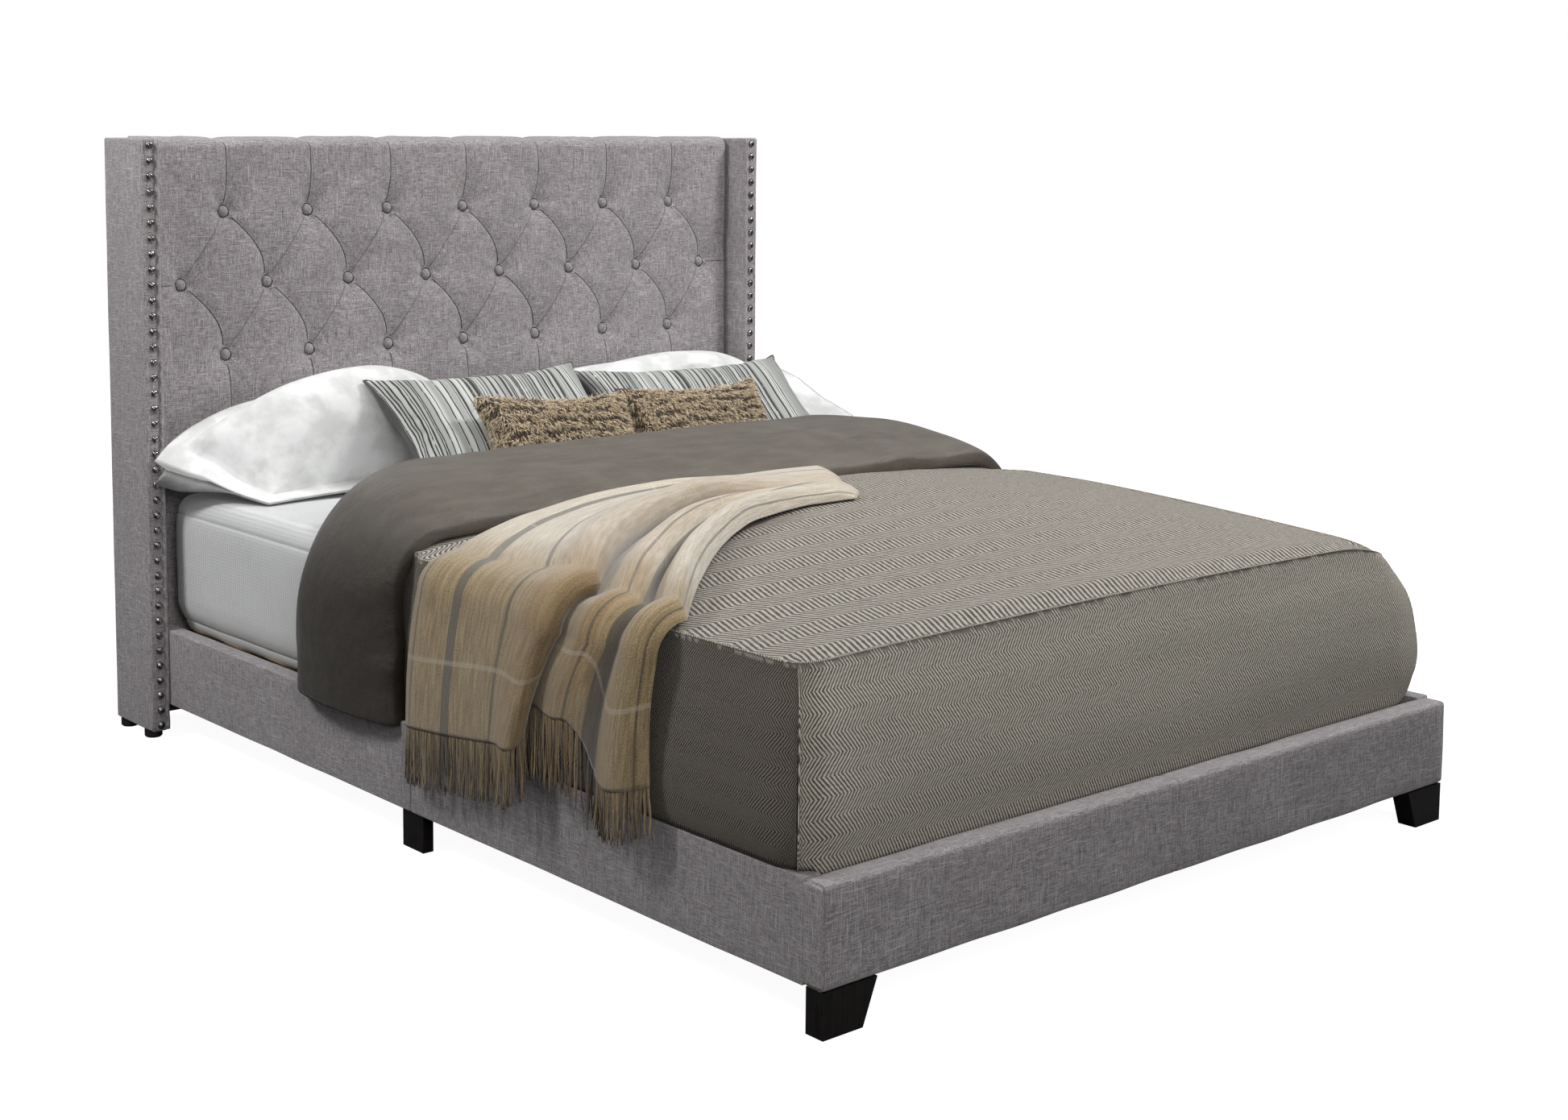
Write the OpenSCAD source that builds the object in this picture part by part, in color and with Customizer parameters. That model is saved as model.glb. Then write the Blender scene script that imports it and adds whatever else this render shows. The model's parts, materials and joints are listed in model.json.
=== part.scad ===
// Upholstered wing-back bed with a diamond-tufted headboard, dressed with its bedding.
// Millimetres. +Z up, head of the bed at +Y, foot at -Y, origin on the floor under the middle.

/* [Frame] */
// Outside width over the side rails and the footboard
rail_w = 1640; // [1600:1:1680]
// Overall length, footboard front to headboard back
bed_l = 2210; // [2180:1:2240]
// Height of the underside of rails and footboard above the floor
clearance_h = 72; // [60:1:90]
// Height of the top of the side rails
rail_top = 236; // [228:1:240]
// Thickness of an upholstered side rail
rail_t = 38; // [34:1:42]
// Footboard thickness
foot_t = 50; // [44:1:60]
// Padding thickness over timber
padding = 7; // [5:1:9]

/* [Headboard] */
// Top of the wings
wing_top = 1287; // [1200:1:1350]
// Thickness of each wing
wing_t = 42; // [36:1:50]
// Depth of each wing from its front edge to the back of the headboard
wing_d = 175; // [160:1:190]
// Height of the glides under the wings
glide_h = 17; // [12:1:22]
// Gap from the wing front to the tufted face
tuft_recess = 62; // [55:1:70]
// Column spacing of the tufting buttons
button_dx = 209.5; // [200:0.5:215]
// Row spacing of the tufting buttons
button_dz = 157; // [140:1:170]
// Height of the middle button row
button_z = 969; // [900:1:1000]
// Diameter of a covered button
button_dia = 24; // [18:1:28]
// Depth of the dimple that each button sits in
dimple_d = 24; // [12:1:28]
// Diameter of a nailhead
nail_dia = 18; // [12:1:20]
// Nailheads on each wing
nail_count = 39; // [20:1:42]
// Spacing of the nailheads
nail_pitch = 32.65; // [30:0.05:32.8]
// Height of the lowest nailhead
nail_z0 = 31; // [28:1:40]

/* [Legs] */
// Width of a footboard leg at its top
leg_top_w = 110; // [100:1:130]
// Width of a footboard leg at the floor
leg_floor_w = 81; // [70:1:95]
// Depth of a footboard leg
leg_d = 37; // [30:1:40]
// Width of the leg under each rail joint
mid_leg_w = 67; // [50:1:80]
// Travel of a leveller up into its leg
leveler_up = 16; // [8:1:16]

/* [Slats] */
// Number of slats
slat_count = 12; // [8:1:14]
// Width of a slat
slat_w = 70; // [50:1:80]
// Thickness of a slat
slat_t = 18; // [14:1:20]

/* [Bedding] */
// Mattress width
mattress_w = 1524; // [1500:1:1530]
// Mattress length
mattress_l = 2026; // [1990:1:2030]
// Height of the top of the mattress
mattress_top = 524; // [480:1:540]
// Comforter thickness
comforter_t = 34; // [20:1:40]
// Length of the folded-back band of the comforter
fold_l = 378; // [300:1:380]

/* [Hidden] */
$fn = 32;
y_foot = -bed_l / 2;                 // front of the footboard
y_back = bed_l / 2;                  // back of the headboard
y_rail0 = y_foot + foot_t;           // back of the footboard
y_wing = y_back - wing_d;            // front edge of the wings
y_panel = y_wing + 88;               // plain lower panel face
y_tuft = y_wing + tuft_recess;       // crown of the tufted face
y_board = y_wing + 110;              // front of the plywood
board_t = 12;
y_joint = (y_rail0 + y_panel) / 2;   // where the two halves of a side rail meet
rail_x = rail_w / 2;                 // outside face of a side rail
rail_in = rail_x - rail_t;           // inside face of a side rail
rail_gap = 0.5;                      // half the gap at the rail joint
cloth_t = 2;
pad_x = rail_x - 3;
tuft_bottom = 552;
headboard_top = wing_top + 4;
timber_top = headboard_top - 20;
stile_w = 60;
crossrail_h = 70;
wing_y_len = wing_d - 2 * padding;
ledger = 30;                         // side of the square ledger strip
slat_z = 192;                        // underside of the slats
slat_pitch = (bed_l - 280) / (slat_count - 1);
slat_y0 = -bed_l / 2 + 120;
slat_len = 2 * (rail_in - 4);
beam_w = 44;
beam_h = 60;
beam_z = slat_z - beam_h;
plate_t = 3;
bolt_r = 4;
bolt_hole_r = 4.3;
bolt_head_r = 7;
bolt_head_h = 5;
hanger_l = 60;
center_leg_z = 34;
center_leg_ys = [y_joint - 541, y_joint, y_joint + 541];
leveler_pad_r = 18;
leveler_pad_h = 8;
leveler_hex_h = 6;
insert_flange_h = 2;
bed_gap = 1;                         // between bedding and what it lies on
wood_gap = 0.4;                      // between butted timbers
mattress_z = slat_z + slat_t + bed_gap;
mattress_y0 = y_tuft - 2 - mattress_l;
mattress_r = 60;
comforter_x = rail_x + 2;            // the comforter bulges a little over the rail tops
comforter_top = mattress_top + comforter_t;
fold_top = mattress_top + 116;
fold_step_zs = [mattress_top + 50, mattress_top + 86];   // tops of the fold's lower steps
fold_step_xs = [comforter_x - 52, comforter_x - 200];    // half widths of its upper steps
fold_y0 = 18;
drop_z = rail_top + 2;               // bedding hangs over the rail tops from here
throw_t = 16;
throw_out = rail_x + 22;

GREY = [0.52, 0.50, 0.52];
TIMBER = [0.78, 0.64, 0.45];
STEEL = [0.62, 0.63, 0.65];
BLACK = [0.06, 0.055, 0.05];

// A box from its low corner to its high corner.
module box(lo, hi) {
  translate(lo) cube(hi - lo);
}

module both_sides() {
  children();
  mirror([1, 0, 0]) children();
}

module rounded_plate(w, l, r, h) {
  linear_extrude(h) {
    square([w - 2 * r, l], center = true);
    square([w, l - 2 * r], center = true);
    for (sx = [-1, 1], sy = [-1, 1])
      translate([sx * (w / 2 - r), sy * (l / 2 - r)]) circle(r);
  }
}

// ---- headboard ----

module headboard_board() {
  color(TIMBER) box([-pad_x, y_board, 30], [pad_x, y_board + board_t, timber_top]);
}

module headboard_stiles() {
  color(TIMBER)
    for (x = [-pad_x, -pad_x / 3 - stile_w / 2, pad_x / 3 - stile_w / 2, pad_x - stile_w])
      box([x, y_board + board_t, 30], [x + stile_w, y_back - cloth_t - 1, timber_top]);
}

module headboard_crossrails() {
  bays = [[-pad_x + stile_w, -pad_x / 3 - stile_w / 2],
          [-pad_x / 3 + stile_w / 2, pad_x / 3 - stile_w / 2],
          [pad_x / 3 + stile_w / 2, pad_x - stile_w]];
  color(TIMBER)
    for (bay = bays, z = [30, 600, timber_top - crossrail_h])
      box([bay[0] + wood_gap, y_board + board_t, z], [bay[1] - wood_gap, y_back - cloth_t - 1, z + crossrail_h]);
}

module headboard_back_cloth() {
  color(BLACK) box([-pad_x, y_back - cloth_t - 1, 24], [pad_x, y_back - 1, timber_top]);
}

// The padded face turns back over the top of the board.
module tufted_pad() {
  r = 28;
  roll = [for (a = [0:10:90]) [y_tuft + r - r * cos(a), headboard_top - r + r * sin(a)]];
  profile = concat([[y_board, tuft_bottom], [y_tuft + 8, tuft_bottom], [y_tuft, tuft_bottom + 30]],
                   roll,
                   [[y_back - 1, headboard_top], [y_back - 1, timber_top], [y_board, timber_top]]);
  color(GREY) difference() {
    rotate([90, 0, 90]) linear_extrude(2 * pad_x, center = true) polygon(profile);
    at_buttons() translate([0, y_tuft + dimple_d, 0]) rotate([90, 0, 0])
      cylinder(r1 = button_dia / 2 + 1, r2 = button_dia + 3, h = dimple_d + 1);
  }
}

module lower_panel_pad() {
  color(GREY) box([-pad_x, y_panel, 30], [pad_x, y_board, tuft_bottom - 1]);
}

// Three rows: the middle row has one button more and sits half a column over.
module at_buttons() {
  for (row = [-1, 0, 1]) {
    n = row == 0 ? 8 : 7;
    for (i = [0 : n - 1])
      translate([(i - (n - 1) / 2) * button_dx, 0, button_z + row * button_dz]) children();
  }
}

module tuft_buttons() {
  r = button_dia / 2;
  dome = [for (a = [0:10:90]) [r * cos(a), 7 * sin(a)]];
  color(GREY) at_buttons()
    translate([0, y_tuft + dimple_d, 0]) rotate([90, 0, 0])
      rotate_extrude() polygon(concat([[0, 0]], dome));
}

module button_ties() {
  color("white") at_buttons()
    translate([0, y_board + board_t + 4, 0]) rotate([90, 0, 0])
      cylinder(r = 1, h = y_board + board_t + 3 - (y_tuft + dimple_d));
}

// ---- wings ----

module wing_block(inset) {
  box([rail_x + inset, y_wing + inset, glide_h], [rail_x + wing_t - inset, y_back - inset, wing_top - inset]);
}

module wing_core() {
  color(TIMBER) wing_block(padding);
}

module wing_cover() {
  color(GREY) difference() {
    wing_block(0);
    wing_block(padding);
  }
}

module wing_core_left() { mirror([1, 0, 0]) wing_core(); }
module wing_core_right() { wing_core(); }
module wing_cover_left() { mirror([1, 0, 0]) wing_cover(); }
module wing_cover_right() { wing_cover(); }

module nailheads() {
  r = nail_dia / 2;
  dome = [for (a = [0:15:90]) [r * cos(a), 5.5 * sin(a)]];
  color(STEEL)
    for (i = [0 : nail_count - 1])
      translate([rail_x + wing_t / 2, y_wing, nail_z0 + i * nail_pitch]) rotate([90, 0, 0]) {
        rotate_extrude() polygon(concat([[0, 0]], dome));
        translate([0, 0, -14]) cylinder(r = 1, h = 15);
      }
}

module nailheads_left() { mirror([1, 0, 0]) nailheads(); }
module nailheads_right() { nailheads(); }

module bolt(length) {
  cylinder(r = bolt_r, h = length);
  translate([0, 0, -bolt_head_h]) cylinder(r = bolt_head_r, h = bolt_head_h);
}

module wing_bolts() {
  color(STEEL) both_sides()
    for (z = [180, 560, 1150])
      translate([pad_x - stile_w, y_back - 28, z]) rotate([0, 90, 0]) bolt(stile_w + 30);
}

module headboard_glides() {
  color(BLACK) both_sides()
    for (y = [y_wing + 37, y_back - 25])
      translate([rail_x + wing_t / 2, y, 0]) {
        cylinder(r1 = 16, r2 = 19, h = 3);
        translate([0, 0, 3]) cylinder(r = 19, h = glide_h - 3);
      }
}

// ---- side rails ----

module rail_core(y0, y1) {
  color(TIMBER) box([rail_in + padding, y0, clearance_h + padding], [rail_x - padding, y1, rail_top - padding]);
}

module rail_cover(y0, y1) {
  color(GREY) difference() {
    box([rail_in, y0, clearance_h], [rail_x - 0.5, y1, rail_top]);
    box([rail_in + padding, y0 - 1, clearance_h + padding], [rail_x - padding, y1 + 1, rail_top - padding]);
  }
}

module rail_core_right_head() { rail_core(y_joint + rail_gap, y_panel); }
module rail_core_right_foot() { rail_core(y_rail0, y_joint - rail_gap); }
module rail_core_left_head() { mirror([1, 0, 0]) rail_core_right_head(); }
module rail_core_left_foot() { mirror([1, 0, 0]) rail_core_right_foot(); }
module rail_cover_right_head() { rail_cover(y_joint + rail_gap, y_panel); }
module rail_cover_right_foot() { rail_cover(y_rail0, y_joint - rail_gap); }
module rail_cover_left_head() { mirror([1, 0, 0]) rail_cover_right_head(); }
module rail_cover_left_foot() { mirror([1, 0, 0]) rail_cover_right_foot(); }

splice_z = [92, 156];
splice_bolt_ys = [-80, -30, 30, 80];

module splice_plates() {
  color(STEEL) both_sides() difference() {
    box([rail_in - plate_t, y_joint - 100, splice_z[0]], [rail_in, y_joint + 100, splice_z[1]]);
    for (dy = splice_bolt_ys)
      translate([rail_in - plate_t - 1, y_joint + dy, 124]) rotate([0, 90, 0])
        cylinder(r = bolt_hole_r, h = plate_t + 2);
  }
}

module splice_bolts() {
  color(STEEL) both_sides()
    for (dy = splice_bolt_ys)
      translate([rail_in - plate_t, y_joint + dy, 124]) rotate([0, 90, 0]) bolt(rail_t - 6);
}

module mid_legs() {
  color(BLACK) both_sides()
    box([rail_in + padding, y_joint - 29, 0], [rail_in + padding + 22, y_joint - 29 + mid_leg_w, clearance_h]);
}

// ---- footboard ----

foot_top = rail_top - 2;

module footboard_core() {
  color(TIMBER) box([-rail_x + 8, y_foot + 11, clearance_h], [rail_x - 8, y_rail0 - 11, foot_top - 12]);
}

module footboard_cover() {
  r = 24;
  front = [for (a = [0:10:90]) [y_foot + r - r * cos(a), foot_top - r + r * sin(a)]];
  profile = concat([[y_rail0, clearance_h], [y_foot, clearance_h]], front,
                   [[y_rail0 - 4, foot_top], [y_rail0, foot_top - 4]]);
  color(GREY) difference() {
    rotate([90, 0, 90]) linear_extrude(2 * rail_x, center = true) polygon(profile);
    box([-rail_x + 8, y_foot + 11, clearance_h - 1], [rail_x - 8, y_rail0 - 11, foot_top - 12]);
  }
}

// Tapered on the inner side only.
module foot_leg() {
  outer = rail_x - 7;
  color(BLACK) translate([0, y_foot + 4 + leg_d, 0]) rotate([90, 0, 0]) linear_extrude(leg_d)
    polygon([[outer, 0], [outer, clearance_h], [outer - leg_top_w, clearance_h], [outer - leg_floor_w, 0]]);
}

module foot_leg_right() { foot_leg(); }
module foot_leg_left() { mirror([1, 0, 0]) foot_leg(); }

module leg_hanger_bolts() {
  color(STEEL) both_sides() {
    for (x = [rail_x - 40, rail_x - 80])
      translate([x, y_foot + 24, 35]) cylinder(r = bolt_r, h = hanger_l);
    for (dy = [-16, 22])
      translate([rail_in + padding + 11, y_joint + dy, 35]) cylinder(r = bolt_r, h = hanger_l);
  }
}

// ---- brackets and slats ----

bracket_len = 60;
bracket_z = [90, 150];
bracket_hole_zs = [105, 135];

// One angle bracket in the corner between a rail and a cross panel; dir is +1 at the foot, -1 at the head.
module angle_bracket(y, dir) {
  y_far = y + dir * bracket_len;
  y_plate = y + dir * plate_t;
  difference() {
    union() {
      box([rail_in - plate_t, min(y, y_far), bracket_z[0]], [rail_in, max(y, y_far), bracket_z[1]]);
      box([rail_in - bracket_len, min(y, y_plate), bracket_z[0]], [rail_in, max(y, y_plate), bracket_z[1]]);
    }
    for (z = bracket_hole_zs) {
      translate([rail_in - plate_t - 1, y + dir * 38, z]) rotate([0, 90, 0])
        cylinder(r = bolt_hole_r, h = plate_t + 2);
      translate([rail_in - 38, y + dir * (plate_t + 1), z]) rotate([dir * 90, 0, 0])
        cylinder(r = bolt_hole_r, h = plate_t + 2);
    }
  }
}

module corner_brackets() {
  color(STEEL) both_sides() {
    angle_bracket(y_rail0, 1);
    angle_bracket(y_panel, -1);
  }
}

module bracket_bolts_at(y, dir) {
  for (z = bracket_hole_zs) {
    translate([rail_in - plate_t, y + dir * 38, z]) rotate([0, 90, 0]) bolt(rail_t - 6);
    translate([rail_in - 38, y + dir * plate_t, z]) rotate([dir * 90, 0, 0]) bolt(foot_t - 15);
  }
}

module corner_bolts() {
  color(STEEL) both_sides() {
    bracket_bolts_at(y_rail0, 1);
    bracket_bolts_at(y_panel, -1);
  }
}

module slat_ledgers() {
  color(TIMBER) both_sides() {
    box([rail_in - ledger, y_rail0 + 15, slat_z - ledger], [rail_in, y_joint - 6, slat_z]);
    box([rail_in - ledger, y_joint + 6, slat_z - ledger], [rail_in, y_panel - 15, slat_z]);
  }
}

function slat_y(i) = slat_y0 + i * slat_pitch;

module slats() {
  color(TIMBER)
    for (i = [0 : slat_count - 1])
      box([-slat_len / 2, slat_y(i) - slat_w / 2, slat_z], [slat_len / 2, slat_y(i) + slat_w / 2, slat_z + slat_t]);
}

module slat_screws() {
  color(STEEL) both_sides()
    for (i = [0 : slat_count - 1])
      translate([rail_in - ledger / 2, slat_y(i), slat_z - 18]) {
        cylinder(r = 2, h = 18 + slat_t - 3);
        translate([0, 0, 18 + slat_t - 3]) cylinder(r1 = 2, r2 = 4.5, h = 2.5);
      }
}

module slat_webbing() {
  color(BLACK) both_sides()
    box([370, slat_y(0) - 30, slat_z - 1.5], [400, slat_y(slat_count - 1) + 30, slat_z]);
}

// ---- centre support ----

module center_beam_head() {
  color(TIMBER) box([-beam_w / 2, y_joint + rail_gap, beam_z], [beam_w / 2, y_panel - plate_t, slat_z - 1.5]);
}

module center_beam_foot() {
  color(TIMBER) box([-beam_w / 2, y_rail0 + plate_t, beam_z], [beam_w / 2, y_joint - rail_gap, slat_z - 1.5]);
}

beam_bolt_ys = [-55, 55];
beam_bolt_z = beam_z + 30;

module beam_splice_plates() {
  color(STEEL) both_sides() difference() {
    box([beam_w / 2, y_joint - 80, beam_z + 8], [beam_w / 2 + plate_t, y_joint + 80, beam_z + 52]);
    for (dy = beam_bolt_ys)
      translate([beam_w / 2 - 1, y_joint + dy, beam_bolt_z]) rotate([0, 90, 0])
        cylinder(r = bolt_hole_r, h = plate_t + 2);
  }
}

module beam_splice_bolts() {
  color(STEEL)
    for (dy = beam_bolt_ys)
      translate([-beam_w / 2 - plate_t, y_joint + dy, beam_bolt_z]) rotate([0, 90, 0]) {
        bolt(beam_w + 2 * plate_t + 8);
        translate([0, 0, beam_w + 2 * plate_t]) cylinder(r = bolt_head_r, h = 6, $fn = 6);
      }
}

// An angle shelf on each cross panel that the beam end drops onto.
module beam_shelf(y, dir) {
  y_far = y + dir * 55;
  y_plate = y + dir * plate_t;
  box([-40, min(y, y_plate), beam_z - 34], [40, max(y, y_plate), slat_z - 4]);
  box([-25, min(y, y_far), beam_z - plate_t], [25, max(y, y_far), beam_z]);
}

module beam_end_brackets() {
  color(STEEL) {
    beam_shelf(y_rail0, 1);
    beam_shelf(y_panel, -1);
  }
}

module beam_bracket_screws() {
  color(STEEL)
    for (x = [-31, 31], z = [beam_z - 20, slat_z - 20]) {
      translate([x, y_rail0 + 6, z]) rotate([90, 0, 0]) cylinder(r = 2.5, h = 30);
      translate([x, y_panel - 6, z]) rotate([-90, 0, 0]) cylinder(r = 2.5, h = 40);
    }
}

module center_legs() {
  color(TIMBER)
    for (y = center_leg_ys)
      difference() {
        box([-beam_w / 2, y - beam_w / 2, center_leg_z], [beam_w / 2, y + beam_w / 2, beam_z]);
        translate([0, y, center_leg_z - 1]) cylinder(r = 7, h = 13);
        translate([0, y, center_leg_z - 1]) cylinder(r = bolt_hole_r, h = 60);
      }
}

module leveler_inserts() {
  color(STEEL)
    for (y = center_leg_ys)
      translate([0, y, center_leg_z]) difference() {
        union() {
          cylinder(r = 7, h = 12);
          translate([0, 0, -insert_flange_h]) cylinder(r = 11, h = insert_flange_h);
        }
        translate([0, 0, -insert_flange_h - 1]) cylinder(r = bolt_hole_r, h = 20);
      }
}

module leveler(y) {
  translate([0, y, 0]) {
    color(BLACK) cylinder(r1 = leveler_pad_r - 2, r2 = leveler_pad_r, h = 3);
    color(BLACK) translate([0, 0, 3]) cylinder(r1 = leveler_pad_r, r2 = 9, h = leveler_pad_h - 3);
    color(STEEL) translate([0, 0, leveler_pad_h]) cylinder(r = 7.5, h = leveler_hex_h, $fn = 6);
    color(STEEL) translate([0, 0, leveler_pad_h]) cylinder(r = bolt_r, h = 52);
  }
}

module leveler_foot() { leveler(center_leg_ys[0]); }
module leveler_middle() { leveler(center_leg_ys[1]); }
module leveler_head() { leveler(center_leg_ys[2]); }

// ---- bedding: plain closed solids of the right size and place ----

module mattress_block(grow, z0, z1) {
  translate([0, mattress_y0 + mattress_l / 2, z0])
    rounded_plate(mattress_w + 2 * grow, mattress_l + 2 * grow, mattress_r, z1 - z0);
}

module mattress() {
  color("white") mattress_block(0, mattress_z, mattress_top);
}

// Covers the mattress and hangs down to the rail tops.
module comforter() {
  color([0.52, 0.47, 0.41]) difference() {
    box([-comforter_x, y_rail0 - 4, drop_z], [comforter_x, fold_y0, comforter_top]);
    mattress_block(bed_gap, mattress_z - 1, mattress_top + bed_gap);
  }
}

module comforter_fold() {
  color([0.36, 0.33, 0.29]) difference() {
    union() {
      box([-comforter_x, fold_y0, drop_z], [comforter_x, fold_y0 + fold_l, fold_step_zs[0]]);
      box([-fold_step_xs[0], fold_y0, drop_z], [fold_step_xs[0], fold_y0 + fold_l, fold_step_zs[1]]);
      box([-fold_step_xs[1], fold_y0 + fold_l / 2, drop_z], [fold_step_xs[1], fold_y0 + fold_l, fold_top]);
    }
    mattress_block(bed_gap, mattress_z - 1, mattress_top + bed_gap);
  }
}

// Laid across the comforter from two gathered tips, over the left edge and down past the rail.
module throw() {
  z_top = comforter_top + bed_gap;
  fan = [[-throw_out, -30], [-throw_out + 60, -10], [-620, -8], [-100, -22], [230, -45],
         [255, -75], [150, -215], [90, -215], [-390, -385], [-throw_out, -790]];
  hang = [[-30, 235], [-30, 570], [-790, 570], [-740, 290], [-690, 165], [-600, 225], [-480, 150], [-60, 130]];
  color([0.72, 0.63, 0.50]) {
    translate([0, 0, z_top]) linear_extrude(throw_t) polygon(fan);
    translate([-throw_out, 0, 0]) rotate([90, 0, 90]) linear_extrude(throw_t) polygon(hang);
  }
}

// A pillow is the meeting of two lens-shaped prisms, thickest in the middle.
function lens(len, t, n = 12) = concat(
  [for (i = [0 : n]) [len * (i / n - 0.5), 4 + (t / 2 - 4) * (1 - pow(abs(2 * i / n - 1), 2.6))]],
  [for (i = [n : -1 : 0]) [len * (i / n - 0.5), -4 - (t / 2 - 4) * (1 - pow(abs(2 * i / n - 1), 2.6))]]);

module pillow(w, h, t) {
  intersection() {
    rotate([90, 0, 90]) linear_extrude(w, center = true) polygon(lens(h, t));
    rotate([90, 0, 0]) linear_extrude(h, center = true) polygon(lens(w, t));
  }
}

// [across, along the bed, up] of each pillow's middle, its width, height, thickness and lean.
module placed_pillow(x, y, z, w, h, t, lean) {
  translate([x, y, z]) rotate([lean, 0, 0]) pillow(w, h, t);
}

module sham(x) { color("white") placed_pillow(x, 826, 648, 752, 360, 150, 40); }
module sham_left() { sham(-440); }
module sham_right() { sham(440); }

module striped(x) { color([0.78, 0.80, 0.76]) placed_pillow(x, 640, 649, 540, 330, 110, 47); }
module striped_pillow_left() { striped(-170); }
module striped_pillow_right() { striped(400); }

module lumbar(x) { color([0.60, 0.47, 0.33]) placed_pillow(x, 476, 628, 380, 236, 80, 56); }
module lumbar_pillow_left() { lumbar(-105); }
module lumbar_pillow_right() { lumbar(290); }

headboard_board();
headboard_stiles();
headboard_crossrails();
headboard_back_cloth();
tufted_pad();
lower_panel_pad();
tuft_buttons();
button_ties();
wing_core_left();
wing_core_right();
wing_cover_left();
wing_cover_right();
nailheads_left();
nailheads_right();
wing_bolts();
headboard_glides();
rail_core_left_head();
rail_core_left_foot();
rail_core_right_head();
rail_core_right_foot();
rail_cover_left_head();
rail_cover_left_foot();
rail_cover_right_head();
rail_cover_right_foot();
splice_plates();
splice_bolts();
mid_legs();
footboard_core();
footboard_cover();
foot_leg_left();
foot_leg_right();
leg_hanger_bolts();
corner_brackets();
corner_bolts();
slat_ledgers();
slats();
slat_screws();
slat_webbing();
center_beam_head();
center_beam_foot();
beam_splice_plates();
beam_splice_bolts();
beam_end_brackets();
beam_bracket_screws();
center_legs();
leveler_inserts();
leveler_foot();
leveler_middle();
leveler_head();
mattress();
comforter();
comforter_fold();
throw();
sham_left();
sham_right();
striped_pillow_left();
striped_pillow_right();
lumbar_pillow_left();
lumbar_pillow_right();
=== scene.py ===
# Looks for an upholstered bed with a tufted wing headboard. Metres, the CAD frame, +Z up, head at +Y.
import json
import math

import bpy
import bmesh
import numpy as np
from mathutils import Matrix, Vector


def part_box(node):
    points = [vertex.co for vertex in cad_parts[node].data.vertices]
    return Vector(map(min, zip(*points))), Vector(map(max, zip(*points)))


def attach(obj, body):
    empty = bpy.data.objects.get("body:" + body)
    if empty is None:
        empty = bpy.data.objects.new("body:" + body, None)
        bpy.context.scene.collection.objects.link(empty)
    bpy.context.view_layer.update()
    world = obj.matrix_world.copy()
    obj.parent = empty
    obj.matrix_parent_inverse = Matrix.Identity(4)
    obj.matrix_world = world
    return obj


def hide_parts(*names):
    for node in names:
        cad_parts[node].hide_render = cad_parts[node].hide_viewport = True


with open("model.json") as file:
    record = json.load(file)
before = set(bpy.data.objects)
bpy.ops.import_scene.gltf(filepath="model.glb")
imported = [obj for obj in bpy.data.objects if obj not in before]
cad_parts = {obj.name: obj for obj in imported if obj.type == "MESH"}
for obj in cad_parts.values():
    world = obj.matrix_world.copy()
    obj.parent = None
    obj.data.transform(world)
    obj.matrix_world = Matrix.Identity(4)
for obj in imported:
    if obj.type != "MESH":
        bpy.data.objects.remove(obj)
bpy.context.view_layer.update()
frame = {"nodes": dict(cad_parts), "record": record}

# ---- camera ----
FOCAL = 2709.3 / 1946                          # focal length over image width
SHIFT = (0.0687, -0.1259)
CAMERA_AT = (-2.9163, -3.2958, 1.3146)
YAW, PITCH, ROLL = -39.70, -6.169, 0.265

# ---- sizes shared by several pieces ----
PITCH_X = 0.2095                               # between buttons along a row
ROW_Z = (1.126, 0.969, 0.812)                  # button rows, top to bottom
BUTTON_ROWS = ((7, -3.0), (8, -3.5), (7, -3.0))  # how many in each row, and the first's place in pitches
BUTTON_R, BUTTON_SINK = 0.012, 0.0225
NAILS, NAIL_PITCH = 39, 0.03265                # nailheads up the front of each wing
SEAM_Z = 0.544                                 # comforter's top seam
RAIL_TOP = 0.236
TOP_HALF, TOP_FOOT = 0.815, -1.045             # the comforter's top edge at the sides and at the foot
TOP_ROUND = 0.045                              # radius of that edge's foot corners
CORNER_SLUMP = 0.10                            # how much rounder the bedding's right foot corner is


# ---- light: name, place, aim, disc size and power ----
SKY = 0.19
FLOOR_BOUNCE = (84, 84, 84)
FLOOR_GLOW = 0.95
LAMPS = (
    ("key", (2.2, -1.3, 3.6), (0.0, 0.6, 0.7), 0.9, 98),
    ("top", (-0.2, -0.4, 3.9), (0.0, 0.0, 0.5), 2.8, 34),
    ("left", (-2.7, 0.9, 2.7), (-0.86, 1.0, 1.15), 0.8, 50),
    ("front", (-2.6, -4.6, 2.6), (0.0, 0.0, 0.7), 2.2, 72),
)


# ---- small maths ----

def ease(t):
    t = np.clip(t, 0.0, 1.0)
    return t * t * (3.0 - 2.0 * t)


def bell(d, width):
    return np.exp(-(d / width) ** 2)


def points(x, y, z):
    """Places from three coordinates, each an array or one number."""
    return np.stack(np.broadcast_arrays(x, y, z), -1)


def noise(x, y, seed):
    """Smooth noise from -1 to 1 over a plane whose cells are 1 wide."""
    table = np.random.RandomState(seed).rand(64, 64) * 2 - 1
    x, y = np.broadcast_arrays(np.asarray(x, float), np.asarray(y, float))
    i, j = np.floor(x).astype(int), np.floor(y).astype(int)
    u, v = ease(x - i), ease(y - j)
    low = table[i % 64, j % 64] * (1 - u) + table[(i + 1) % 64, j % 64] * u
    high = table[i % 64, (j + 1) % 64] * (1 - u) + table[(i + 1) % 64, (j + 1) % 64] * u
    return low * (1 - v) + high * v


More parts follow.
